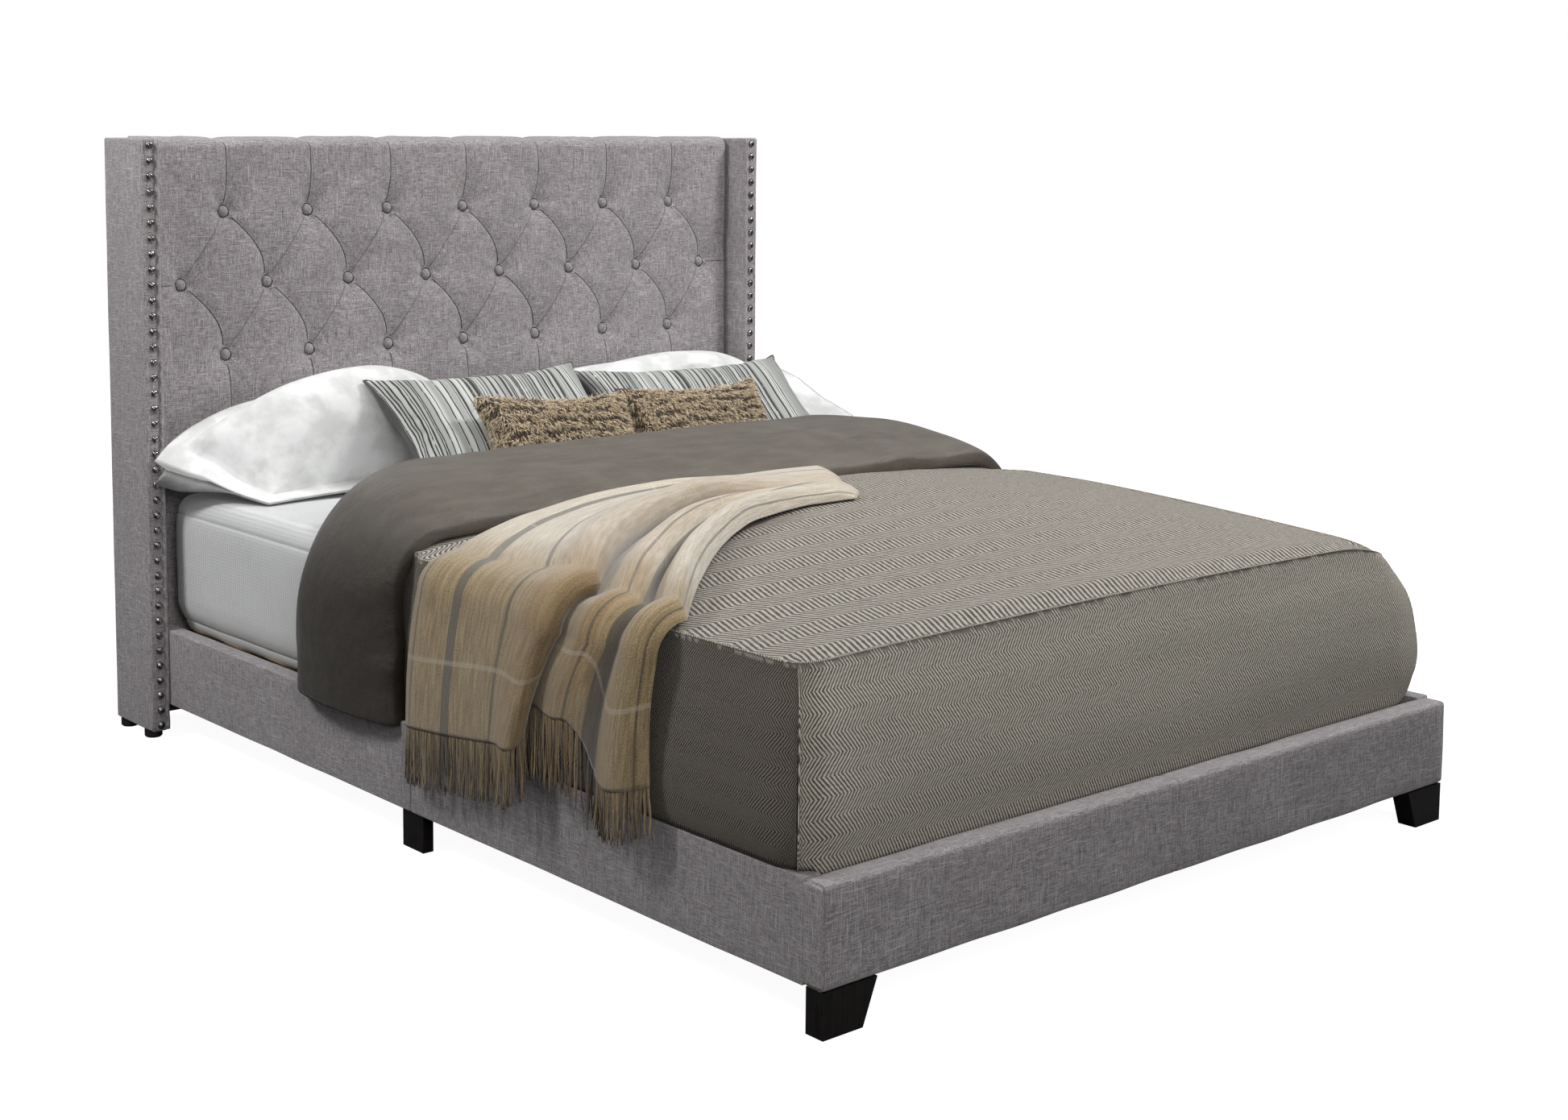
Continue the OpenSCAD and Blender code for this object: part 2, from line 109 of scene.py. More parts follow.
def through(xs, ys, x):
    """A smooth line through a few named points."""
    xs, ys = np.asarray(xs, float), np.asarray(ys, float)
    slope = np.gradient(ys, xs)
    k = np.clip(np.searchsorted(xs, x) - 1, 0, len(xs) - 2)
    h = xs[k + 1] - xs[k]
    t = np.clip((x - xs[k]) / h, 0, 1)
    return ((2 * t**3 - 3 * t**2 + 1) * ys[k] + (t**3 - 2 * t**2 + t) * h * slope[k]
            + (3 * t**2 - 2 * t**3) * ys[k + 1] + (t**3 - t**2) * h * slope[k + 1])


# ---- mesh making ----

def add(name, data):
    """A new object in the scene."""
    made = bpy.data.objects.new(name, data)
    bpy.context.scene.collection.objects.link(made)
    return made


def new_mesh(name, verts, faces):
    mesh = bpy.data.meshes.new(name)
    verts = np.asarray(verts, float).reshape(-1, 3)
    mesh.from_pydata(verts.tolist(), [], [list(map(int, f)) for f in faces])
    return mesh


def piece(name, verts, faces, body, slot, replaces=(), finish=None, **fields):
    """A mesh on a body, in its slot's finish; fields are vectors per point that its material reads."""
    mesh = new_mesh(name, verts, faces)
    for key, value in fields.items():
        layer = mesh.attributes.new(key, "FLOAT_VECTOR", "POINT")
        layer.data.foreach_set("vector", np.asarray(value, np.float32).reshape(-1))
    work = bmesh.new()
    work.from_mesh(mesh)
    bmesh.ops.recalc_face_normals(work, faces=work.faces)
    work.to_mesh(mesh)
    work.free()
    mesh.polygons.foreach_set("use_smooth", [True] * len(mesh.polygons))
    mesh.materials.append(finish or FINISH[slot])
    made = add(name, mesh)
    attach(made, body)
    if replaces:
        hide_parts(*replaces)
    return made


def quads(nu, nv, start=0, around_v=False):
    """Faces of a grid of nu by nv points, stored with v running fastest."""
    i, j = np.meshgrid(np.arange(nu - 1), np.arange(nv if around_v else nv - 1), indexing="ij")
    k, m = i + 1, (j + 1) % nv
    return np.stack([i * nv + j, k * nv + j, k * nv + m, i * nv + m], -1).reshape(-1, 4) + start


def gather(parts):
    """Several (verts, faces) as one."""
    verts, faces, count = [], [], 0
    for v, f in parts:
        verts.append(np.asarray(v).reshape(-1, 3))
        faces += [[int(i) + count for i in face] for face in f]
        count += len(verts[-1])
    return np.concatenate(verts), faces


def steps(low, high, radius, step, marks=()):
    """Places along one side of a rounded box, close together in its edges and at its seams."""
    rim = radius * (1 - np.cos(np.linspace(0, math.pi / 2, 5)))
    inner = np.linspace(low + radius, high - radius, max(2, int((high - low) / step)))
    near = [m + d for m in marks for d in (-0.006, -0.003, -0.0015, 0.0, 0.0015, 0.003, 0.006)]
    return np.unique(np.round(np.concatenate([low + rim, inner, high - rim, near]), 6))


def rounded_box(low, high, radius, step, seams=(), depth=0.0016, soft=0.0006, seed=1):
    """A closed rounded box, sunk along its seams, each (axis, place), and uneven as stuffed cloth is."""
    low, high = np.array(low, float), np.array(high, float)
    axes = [steps(low[k], high[k], radius, step, [c for a, c in seams if a == k]) for k in range(3)]
    shape = [len(a) for a in axes]
    shell = np.zeros(shape, bool)
    for k in range(3):
        edge = [slice(None)] * 3
        for end in (0, -1):
            edge[k] = end
            shell[tuple(edge)] = True
    number = (np.cumsum(shell.ravel()) - 1).reshape(shape)
    at = np.stack(np.meshgrid(*axes, indexing="ij"), -1)[shell]
    core = np.clip(at, low + radius, high - radius)
    out = at - core
    out /= np.maximum(np.linalg.norm(out, axis=1, keepdims=True), 1e-9)
    at = core + out * radius
    push = soft * (noise(at[:, 0] * 9 + at[:, 2] * 7, at[:, 1] * 9 - at[:, 2] * 5, seed) - 1)
    for axis, place in seams:
        push = push - depth * bell(at[:, axis] - place, 0.0028)
    faces = []
    for k in range(3):
        for end in (0, -1):
            layer = np.take(number, end, axis=k)
            corners = [layer[:-1, :-1], layer[1:, :-1], layer[1:, 1:], layer[:-1, 1:]]
            faces.append(np.stack(corners, -1).reshape(-1, 4))
    return at + out * push[:, None], np.concatenate(faces)


def tube(path, radius, sides=8, ends=True):
    """A tube along a path of points; radius may vary along it."""
    path = np.asarray(path, float)
    radius = np.broadcast_to(radius, len(path))
    along = np.gradient(path, axis=0)
    along /= np.linalg.norm(along, axis=1, keepdims=True)
    side = np.cross(along, [0.31, 0.17, 0.94] if abs(along[0, 2]) < 0.8 else [1.0, 0.1, 0.0])
    side /= np.linalg.norm(side, axis=1, keepdims=True)
    other = np.cross(along, side)
    turn = np.linspace(0, 2 * math.pi, sides, endpoint=False)
    ring = (path[:, None] + radius[:, None, None] * (np.cos(turn)[None, :, None] * side[:, None]
                                                     + np.sin(turn)[None, :, None] * other[:, None]))
    n = len(path)
    faces = quads(n, sides, around_v=True).tolist()
    if ends:
        faces += [list(range(sides)), list(range((n - 1) * sides, n * sides))]
    return ring.reshape(-1, 3), faces


def dome(centre, normal, radius, height, rings=7, sides=18):
    """A low dome on a short skirt, such as a covered button or a nail's head."""
    normal = np.array(normal, float)
    side = np.cross(normal, [0, 0, 1.0])
    side /= np.linalg.norm(side)
    other = np.cross(normal, side)
    turn = np.linspace(0, 2 * math.pi, sides, endpoint=False)
    verts = []
    for a in np.linspace(0, math.pi / 2 * 0.94, rings)[::-1]:
        r, h = radius * math.sin(a), height * math.cos(a)
        ring = np.cos(turn)[:, None] * side + np.sin(turn)[:, None] * other
        verts.append(centre + normal * h + r * ring)
    verts.insert(0, verts[0] - normal * height * 0.35)
    verts[-1] = np.asarray([centre + normal * height])
    n = len(verts) - 1
    faces = quads(n, sides, around_v=True).tolist()
    top = n * sides
    faces += [[(n - 1) * sides + i, (n - 1) * sides + (i + 1) % sides, top] for i in range(sides)]
    faces.append(list(range(sides))[::-1])
    return np.concatenate(verts), faces


# ---- materials ----

class Finish:
    """A Principled material put together node by node."""

    def __init__(self, name, **sockets):
        self.mat = bpy.data.materials.new(name)
        self.mat.use_nodes = True
        self.tree = self.mat.node_tree
        self.bsdf = self.tree.nodes["Principled BSDF"]
        for key, value in sockets.items():
            self.bsdf.inputs[key.replace("_", " ")].default_value = value

    def node(self, kind, inputs=(), out=0, **settings):
        made = self.tree.nodes.new("ShaderNode" + kind)
        for key, value in settings.items():
            setattr(made, key, value)
        for key, value in dict(inputs).items():
            self.feed(made.inputs[key], value)
        return made.outputs[out]

    def feed(self, socket, value):
        if isinstance(value, bpy.types.NodeSocket):
            self.tree.links.new(value, socket)
        else:
            socket.default_value = value

    def place(self):
        return self.node("TexCoord", out="Object")

    def field(self, name):
        return self.node("Attribute", attribute_name=name, out="Vector")

    def split(self, vector):
        made = self.tree.nodes.new("ShaderNodeSeparateXYZ")
        self.feed(made.inputs[0], vector)
        return made.outputs[0], made.outputs[1], made.outputs[2]

    def join(self, x, y, z=0.0):
        return self.node("CombineXYZ", {0: x, 1: y, 2: z})

    def scaled(self, vector, by):
        return self.node("VectorMath", {0: vector, 1: by}, operation="MULTIPLY")

    def sum(self, a, b):
        return self.math("ADD", a, b)

    def times(self, a, b):
        return self.math("MULTIPLY", a, b)

    def math(self, operation, a, b=0.0, c=0.0):
        return self.node("Math", {0: a, 1: b, 2: c}, operation=operation)

    def noise(self, vector, scale, detail=2.0, rough=0.5):
        if isinstance(scale, tuple):
            vector, scale = self.scaled(vector, scale), 1.0
        return self.node("TexNoise", {"Vector": vector, "Scale": scale, "Detail": detail,
                                      "Roughness": rough})

    def ramp(self, value, low, high, to_low=0.0, to_high=1.0):
        return self.node("MapRange", {"Value": value, "From Min": low, "From Max": high, "To Min": to_low,
                                      "To Max": to_high}, interpolation_type="SMOOTHSTEP")

    def mix(self, share, a, b, how="MIX"):
        made = self.tree.nodes.new("ShaderNodeMix")
        made.data_type, made.blend_type = "RGBA", how
        for socket, value in ((made.inputs[0], share), (made.inputs[6], a), (made.inputs[7], b)):
            self.feed(socket, value)
        return made.outputs[2]

    def colour(self, value):
        self.feed(self.bsdf.inputs["Base Color"], value)

    def rough(self, value):
        self.feed(self.bsdf.inputs["Roughness"], value)

    def bump(self, height, distance, strength=1.0):
        self.feed(self.bsdf.inputs["Normal"], self.node(
            "Bump", {"Height": height, "Distance": distance, "Strength": strength}))
        return self.mat


def tone(r, g, b):
    """An sRGB colour, 0 to 255, as a linear one."""
    parts = (c / 255 / 12.92 if c <= 10 else ((c / 255 + 0.055) / 1.055) ** 2.4 for c in (r, g, b))
    return (*parts, 1.0)


def linen(name, folds=False):
    """Heather grey linen: three sets of fine streaks, one along each axis, with light and dark slubs; with
    folds, also painted shade along the tufting's creases and round its buttons.
    """
    m = Finish(name, Roughness=0.86, Sheen_Weight=0.25, Sheen_Roughness=0.5)
    at = m.place()
    cloud = m.noise(at, 7.0, 3.0)
    streaks = [m.noise(at, s, 2.0, 0.6)
               for s in ((60, 560, 560), (560, 60, 560), (560, 560, 60))]
    slubs = [m.noise(at, s, 1.0, 0.4)
             for s in ((22, 420, 420), (420, 22, 420), (420, 420, 22))]
    weave = m.sum(m.sum(streaks[0], streaks[1]), streaks[2])
    thick = [m.ramp(slub, 0.62, 0.72) for slub in slubs]
    light = m.math("MAXIMUM", m.math("MAXIMUM", thick[0], thick[1]), thick[2])
    dark = m.math("MAXIMUM", m.ramp(slubs[0], 0.36, 0.28), m.ramp(slubs[2], 0.36, 0.28))
    base = m.mix(m.ramp(weave, 1.1, 1.9), tone(112, 106, 108), tone(184, 178, 180))
    base = m.mix(m.times(light, 0.55), base, tone(206, 201, 203))
    base = m.mix(m.times(dark, 0.50), base, tone(92, 86, 88))
    base = m.mix(m.ramp(cloud, 0.35, 0.65, 0.0, 0.12), base, tone(120, 114, 118))
    if folds:                                  # painted shade in the creases; the field is distance from a fold line / 20 mm, its reach and strength
        line, reach, strength = m.split(m.field("fold"))
        gap = m.math("ABSOLUTE", line)
        crease = m.times(m.times(m.ramp(gap, 0.11, 0.03), m.ramp(reach, 0.3, 0.6)), strength)
        # painted shade: the cloth darkens along the creases and round the buttons
        base = m.mix(crease, base, tone(30, 27, 29))
    m.colour(base)
    return m.bump(m.sum(weave, m.times(light, 0.6)), 0.0011, 0.55)


def cotton(name):
    """White percale with faint slack wrinkles."""
    m = Finish(name, Roughness=0.78, Sheen_Weight=0.2)
    at = m.place()
    weave = m.sum(m.noise(at, (900, 120, 900)), m.noise(at, (120, 900, 900)))
    wrinkle = m.noise(at, 16.0, 4.0, 0.55)
    m.colour(m.mix(m.ramp(wrinkle, 0.35, 0.65), tone(214, 215, 213), tone(238, 239, 238)))
    return m.bump(m.sum(m.times(wrinkle, 8.0), weave), 0.0005, 0.5)


def knit(name):
    """The mattress border: fine upright ribs of soft white knit."""
    m = Finish(name, Roughness=0.82, Sheen_Weight=0.25)
    at = m.place()
    x, y, z = m.split(at)
    wave = m.times(m.noise(at, (60, 60, 22), 2.0), 3.0)
    rib = m.math("SINE", m.sum(m.times(m.sum(x, y), 1150.0), wave))
    stitch = m.math("SINE", m.sum(m.times(z, 900.0), wave))
    knot = m.times(rib, stitch)
    loops = m.sum(rib, m.times(knot, 0.5))
    m.colour(m.mix(m.ramp(loops, -1.3, 1.2), tone(196, 198, 198), tone(236, 237, 236)))
    return m.bump(m.sum(rib, m.times(knot, 0.6)), 0.0008, 0.6)


def herringbone(name):
    """Grey-brown herringbone; cloth is metres across and along it, z 0 on top, 0.5 in front, 1 aside;
    painted light makes the front lighter and painted shade the two sides darker.
    """
    m = Finish(name, Roughness=0.9, Sheen_Weight=0.2, Sheen_Roughness=0.45)
    cloth = m.field("cloth")
    u, v, wall = m.split(cloth)
    wobble = m.math("MULTIPLY_ADD", m.noise(cloth, (9, 9, 0), 3.0), 0.016, -0.008)
    v2 = m.sum(v, m.times(wobble, 0.6))
    band = 0.055
    saw = m.math("PINGPONG", v2, band)
    jitter = m.math("MULTIPLY_ADD", m.noise(cloth, (130, 45, 0), 2.0), 0.008, -0.004)
    wobble = m.sum(wobble, m.times(jitter, 1.6))
    lean = m.math("MULTIPLY_ADD", m.math("MINIMUM", m.times(wall, 2.0), 1.0), 0.30, 0.42)
    stroke = m.sum(m.sum(u, m.times(saw, lean)), m.times(wobble, 0.4))
    stroke = m.math("SINE", m.times(stroke, 2 * math.pi / 0.0115))
    yarn = m.noise(cloth, (520, 520, 0), 2.0, 0.7)
    patch = m.noise(cloth, (14, 34, 0), 2.0)
    rows = m.sum(m.times(stroke, m.ramp(patch, 0.25, 0.6, 0.6, 1.15)),
                 m.math("MULTIPLY_ADD", yarn, 3.2, -1.6))
    share = m.ramp(rows, -0.8, 0.8)
    side = m.math("MULTIPLY_ADD", wall, 2.0, -1.0)   # -1 on top, 0 in front, 1 on the two sides, which painted shade darkens
    low = m.mix(side, tone(58, 52, 44), tone(42, 37, 31))
    high = m.mix(side, tone(196, 188, 175), tone(146, 136, 122))
    # painted light: the front face is lighter than the top
    front = m.math("SUBTRACT", 1.0, m.math("ABSOLUTE", side))
    low, high = m.mix(front, low, tone(86, 78, 67)), m.mix(front, high, tone(238, 230, 214))
    m.colour(m.mix(share, low, high))
    return m.bump(rows, 0.0014, 0.7)


def sateen(name):
    """Taupe sateen with a soft sheen and small lying wrinkles."""
    m = Finish(name, Roughness=0.50, Sheen_Weight=0.25, Sheen_Roughness=0.35)
    at = m.place()
    thread = m.noise(at, (260, 900, 900), 2.0)
    crush = m.noise(at, (9, 26, 26), 4.0, 0.6)
    fine = m.noise(at, (30, 70, 50), 3.0, 0.6)
    base = m.mix(m.ramp(m.sum(thread, crush), 0.7, 1.3), tone(84, 77, 68), tone(107, 100, 90))
    over = m.split(m.field("cloth"))[2]        # painted shade: the band is darker where it turns down the sides
    m.colour(m.mix(m.times(over, 0.85), base, m.mix(crush, tone(34, 29, 24), tone(50, 44, 36))))
    return m.bump(m.sum(m.sum(m.times(crush, 3.0), m.times(fine, 1.2)), thread), 0.0024, 0.5)


def plaid(name):
    """Brushed wool: cloth.x runs across the throw from 0 to 1, y along it in metres, and z darkens it:
    painted shade along the sheet's creases, and fringe strands darker at random and towards their ends.
    """
    m = Finish(name, Roughness=0.93, Sheen_Weight=0.6, Sheen_Roughness=0.4)
    cloth = m.field("cloth")
    u, v, crease_shade_and_fringe_darkening = m.split(cloth)
    fluff = m.noise(m.place(), (340, 340, 340), 3.0, 0.7)
    streak = m.noise(cloth, (150, 14, 0), 2.0)
    drift = m.math("MULTIPLY_ADD", fluff, 0.008, -0.004)
    u2, v2 = m.sum(u, drift), m.sum(v, m.times(drift, 0.6))
    tan = m.mix(m.ramp(m.sum(fluff, streak), 0.75, 1.3), tone(138, 118, 86), tone(182, 160, 122))
    cream = m.mix(m.ramp(m.sum(fluff, streak), 0.75, 1.3), tone(190, 177, 155), tone(224, 215, 200))
    # painted light and shade: cream where the throw lies on top, tan where it hangs down the side
    base = m.mix(m.ramp(v2, 1.02, 0.80), tan, cream)

    def band(value, middle, half, soft):
        return m.ramp(m.math("ABSOLUTE", m.math("SUBTRACT", value, middle)), half + soft, half)

    ochre = m.math("MAXIMUM", band(u2, 0.45, 0.035, 0.03), m.math("MAXIMUM", band(u2, 0.68, 0.03, 0.03),
                                                                   band(u2, 0.83, 0.03, 0.02)))
    base = m.mix(m.times(ochre, 0.24), base, tone(168, 130, 86))
    for middle, half in ((0.05, 0.003), (0.365, 0.0035), (0.70, 0.002), (0.955, 0.002)):
        base = m.mix(m.times(band(u2, middle, half, 0.004), 0.72), base, tone(84, 75, 64))
    for middle, half in ((0.195, 0.014), (0.760, 0.020)):
        base = m.mix(m.times(band(u2, middle, half, 0.004), 0.78), base, tone(86, 83, 76))
    for middle in (0.40, 0.78, 1.165):
        base = m.mix(m.times(band(v2, middle, 0.003, 0.003), 0.30), base, tone(216, 205, 186))
    # painted shade in the creases, and the fringe strands' darkening
    base = m.mix(m.times(crease_shade_and_fringe_darkening, 0.8), base, tone(52, 42, 38))
    m.colour(base)
    return m.bump(m.sum(fluff, m.times(streak, 0.4)), 0.0024, 0.7)


def striped(name):
    """Grey-green cotton with clusters of hand-drawn lines; cloth.x is metres across, z 1 on its face."""
    m = Finish(name, Roughness=0.84, Sheen_Weight=0.15)
    x, y, front = m.split(m.field("cloth"))
    drift = m.noise(m.join(m.times(x, 45.0), m.times(y, 12.0)), 1.0, 2.0)
    along = m.sum(x, m.math("MULTIPLY_ADD", drift, 0.007, -0.0035))
    base = m.mix(m.ramp(m.noise(m.join(m.times(x, 26.0), 0.0), 1.0, 1.0), 0.40, 0.60),
                 tone(160, 163, 159), tone(206, 208, 204))
    for cell, low, wide, shift in ((0.0088, 0.34, 0.22, 0.0), (0.0164, 0.42, 0.15, 7.3)):
        place = m.math("MULTIPLY_ADD", along, 1 / cell, shift)
        pick = m.node("TexWhiteNoise", {"W": m.math("FLOOR", place)}, out="Value", noise_dimensions="1D")
        within = m.math("ABSOLUTE", m.math("SUBTRACT", m.math("FRACT", place), 0.5))
        broken = m.noise(m.join(m.times(x, 160.0), m.times(y, 42.0), shift), 1.0, 1.0)
        width = m.math("MULTIPLY_ADD", pick, wide, -0.005)
        line = m.times(m.ramp(m.math("SUBTRACT", within, width), 0.06, 0.0), m.ramp(broken, 0.22, 0.36))
        base = m.mix(m.times(m.times(line, m.ramp(pick, low - 0.08, low)), 0.97), base, tone(24, 23, 23))
    base = m.mix(front, tone(74, 74, 72), base)
    weave = m.noise(m.place(), (700, 700, 700))
    m.colour(m.mix(m.times(weave, 0.16), base, tone(120, 120, 116)))
    return m.bump(weave, 0.0006, 0.5)


def fur(name):
    """Clipped brown fur; cloth.z is how dark a tuft is."""
    m = Finish(name, Roughness=0.9, Sheen_Weight=0.4, Sheen_Roughness=0.4)
    dark = m.split(m.field("cloth"))[2]
    hair = m.noise(m.place(), (420, 420, 300), 4.0, 0.75)
    base = m.mix(m.ramp(hair, 0.35, 0.65), tone(204, 172, 132), tone(255, 242, 214))
    m.colour(m.mix(m.ramp(dark, 0.14, 0.85), base, tone(44, 30, 18)))
    return m.bump(hair, 0.002, 0.6)


def nail_steel(name):
    m = Finish(name, Metallic=1.0)
    worn = m.noise(m.place(), 160.0, 3.0)
    m.colour(m.mix(m.ramp(worn, 0.4, 0.65), tone(104, 101, 99), tone(176, 173, 170)))
    m.rough(m.ramp(worn, 0.3, 0.7, 0.16, 0.34))
    return m.bump(worn, 0.0003, 0.3)


def black_wood(name):
    m = Finish(name, Coat_Weight=0.25, Coat_Roughness=0.2)
    at = m.place()
    grain = m.noise(at, (160, 160, 9), 4.0, 0.6)
    scuff = m.noise(at, 60.0, 4.0, 0.7)
    m.colour(m.mix(m.ramp(grain, 0.3, 0.7), tone(9, 7, 6), tone(24, 19, 17)))
    m.rough(m.ramp(scuff, 0.3, 0.7, 0.34, 0.55))
    return m.bump(grain, 0.0005, 0.5)


def wood(name, dark, light, along):
    """Plain sawn timber or ply; along is the grain's axis."""
    m = Finish(name, Roughness=0.62)
    at = m.place()
    stretch = [70.0, 70.0, 70.0]
    stretch[along] = 3.0
    ring = m.noise(at, tuple(stretch), 4.0, 0.6)
    pore = m.noise(at, tuple(6 * s for s in stretch), 2.0)
    base = m.mix(m.ramp(ring, 0.32, 0.68), tone(*dark), tone(*light))
    m.colour(m.mix(m.ramp(pore, 0.60, 0.75, 0.0, 0.35), base, tone(*(c * 0.6 for c in dark))))
    return m.bump(m.sum(ring, pore), 0.0006, 0.5)


def metal(name, dark, light):
    m = Finish(name, Metallic=1.0)
    at = m.place()
    spangle = m.noise(at, 90.0, 3.0)
    m.colour(m.mix(m.ramp(spangle, 0.35, 0.65), tone(*dark), tone(*light)))
    m.rough(m.ramp(spangle, 0.3, 0.7, 0.28, 0.45))
    return m.bump(m.noise(at, (900, 900, 120)), 0.0002, 0.3)


def plastic(name):
    m = Finish(name)
    grit = m.noise(m.place(), 900.0, 2.0)
    m.colour(m.mix(grit, tone(16, 16, 17), tone(38, 38, 40)))
    m.rough(m.ramp(grit, 0.3, 0.7, 0.42, 0.6))
    return m.bump(grit, 0.0003, 0.5)


def cloth_plain(name, dark, light, pitch):
    """A plain open weave, for dust cloth, webbing and twine."""
    m = Finish(name, Roughness=0.9)
    x, y, z = m.split(m.place())
    over = m.times(m.math("SINE", m.times(m.sum(x, m.times(y, 0.02)), 2 * math.pi / pitch)),
                   m.math("SINE", m.times(m.sum(z, y), 2 * math.pi / pitch)))
    fuzz = m.noise(m.place(), 500.0, 2.0)
    m.colour(m.mix(m.ramp(m.sum(over, fuzz), -0.6, 1.6), tone(*dark), tone(*light)))
    return m.bump(m.sum(over, fuzz), 0.0006, 0.6)


FINISH = {"grey_linen": linen("linen")}
LINEN_CREASE_SHADED = linen("linen_folded", folds=True)
FINISH["nailhead_steel"] = nail_steel("nail_steel")
for slot, make, *given in (
        ("plywood", wood, (176, 140, 98), (214, 184, 142), 0),
        ("timber", wood, (184, 148, 104), (226, 198, 156), 1),
        ("slat_wood", wood, (190, 156, 112), (230, 204, 164), 0),
        ("dust_cloth", cloth_plain, (22, 22, 24), (52, 52, 54), 0.0024),
        ("twine", cloth_plain, (150, 136, 112), (204, 192, 168), 0.0016),
        ("webbing", cloth_plain, (24, 24, 26), (60, 60, 62), 0.0030),
        ("zinc_steel", metal, (150, 152, 156), (204, 206, 210)),
        ("leveler_steel", metal, (120, 120, 122), (176, 176, 178)),
        ("glide_plastic", plastic),
        ("black_wood", black_wood),
        ("mattress_knit", knit),
        ("herringbone", herringbone),
        ("taupe_sateen", sateen),
        ("plaid_wool", plaid),
        ("white_cotton", cotton),
        ("striped_cotton", striped),
        ("brown_fur", fur)):
    FINISH[slot] = make(slot, *given)


def finish_cad_nodes():
    """Every CAD node gets its slot's procedural finish."""
    for entry in frame["record"]["subparts"]:
        mesh = frame["nodes"][entry["node"]].data
        mesh.materials.clear()
        mesh.materials.append(FINISH[entry["material_slot"]])


# ---- headboard ----

def tufting(x, s):
    """Depth of the pad's face at x, s, and its crease shade field, for painted shade in the creases and
    round the buttons: distance / 20 mm, reach and strength.
    """
    depth = np.zeros_like(x)
    fold = points(np.ones_like(x), 0.0, 0.0)
    best = np.full_like(x, 1.0)
    x, s = np.broadcast_arrays(x, s)

    def crease(distance, reach, strength, lip, slope, deep):
        nonlocal depth
        width = np.where(distance > 0, slope, lip)
        cut = deep * np.exp(-np.abs(distance) / width) + 0.45 * deep * bell(distance, 0.034)
        depth = (depth**3 + (cut * reach) ** 3) ** (1 / 3)
        near = (np.abs(distance) < best) & (reach > 0.02)
        best[near] = np.abs(distance)[near]
        fold[near] = points(np.clip(distance / 0.02, -1, 1), bell(distance, 0.009) * reach, strength)[near]

    for upper in (0, 1):
        t = (ROW_Z[upper] - s) / (ROW_Z[upper] - ROW_Z[upper + 1])
        inside = ((t > 0) & (t < 1)).astype(float)
        first = BUTTON_ROWS[upper][1] * PITCH_X
        for lean, bow, strength, deep in ((1, 0.12, 1.0, 0.0060), (-1, 0.0, 0.45, 0.0022)):
            offset = lean * PITCH_X / 2 * (t + bow * 2 * np.sin(math.pi * np.clip(t, 0, 1)))
            low_n, high_n = 0, 6
            if upper == 1 and lean < 0:
                low_n, high_n = 1, 7
            n = np.clip(np.round((x - first - offset) / PITCH_X), low_n, high_n)
            distance = (x - first - offset - n * PITCH_X) * 0.83
            crease(distance, inside, strength, 0.0045, 0.013, deep)
    for row, top in ((0, True), (2, False)):
        t = (s - ROW_Z[row]) / (1.32 - ROW_Z[0]) if top else (ROW_Z[2] - s) / (ROW_Z[2] - 0.56)
        inside = (t > 0).astype(float)
        n = np.clip(np.round(x / PITCH_X), -3, 3)
        distance = x - n * PITCH_X - 0.006 * np.sin(math.pi * np.clip(t, 0, 1))
        crease(distance, inside, 0.8, 0.005, 0.012, 0.0045)
        if top:
            depth = depth + 0.0055 * inside * ease(t * 1.2) * bell(distance, 0.026)
    side = (np.abs(x) > 3.5 * PITCH_X).astype(float)
    crease(s - ROW_Z[1], side, 0.7, 0.004, 0.006, 0.0025)
    for row, (count, first) in enumerate(BUTTON_ROWS):
        n = np.clip(np.round(x / PITCH_X - first), 0, count - 1)
        dx, dz = x - (first + n) * PITCH_X, s - ROW_Z[row]
        r = np.hypot(dx, dz)
        angle = np.arctan2(dz, dx)
        pull = 1 + 0.16 * np.cos(6 * angle + 1.3 * n + row) * bell(r, 0.05)
        upward = np.clip(np.cos(angle - 1.2), 0, 1) ** 2
        dip = 0.029 * np.exp(-((r / ((0.028 + 0.034 * upward) * pull)) ** 1.1))
        depth = (depth**3 + dip**3) ** (1 / 3)
        fold[..., 1] *= 1 - bell(r, 0.010)
        # painted shade: a dark ring in the cloth round each button
        ring = np.abs(r - BUTTON_R - 0.0014) < 0.006
        fold[ring] = points((r - BUTTON_R - 0.0014) / 0.02, 1.0, 0.9)[ring]
    puff = 0.0016 * noise(x * 14, s * 14, 5) + 0.0006 * noise(x * 60, s * 60, 8)
    return depth + puff + 0.0016, fold


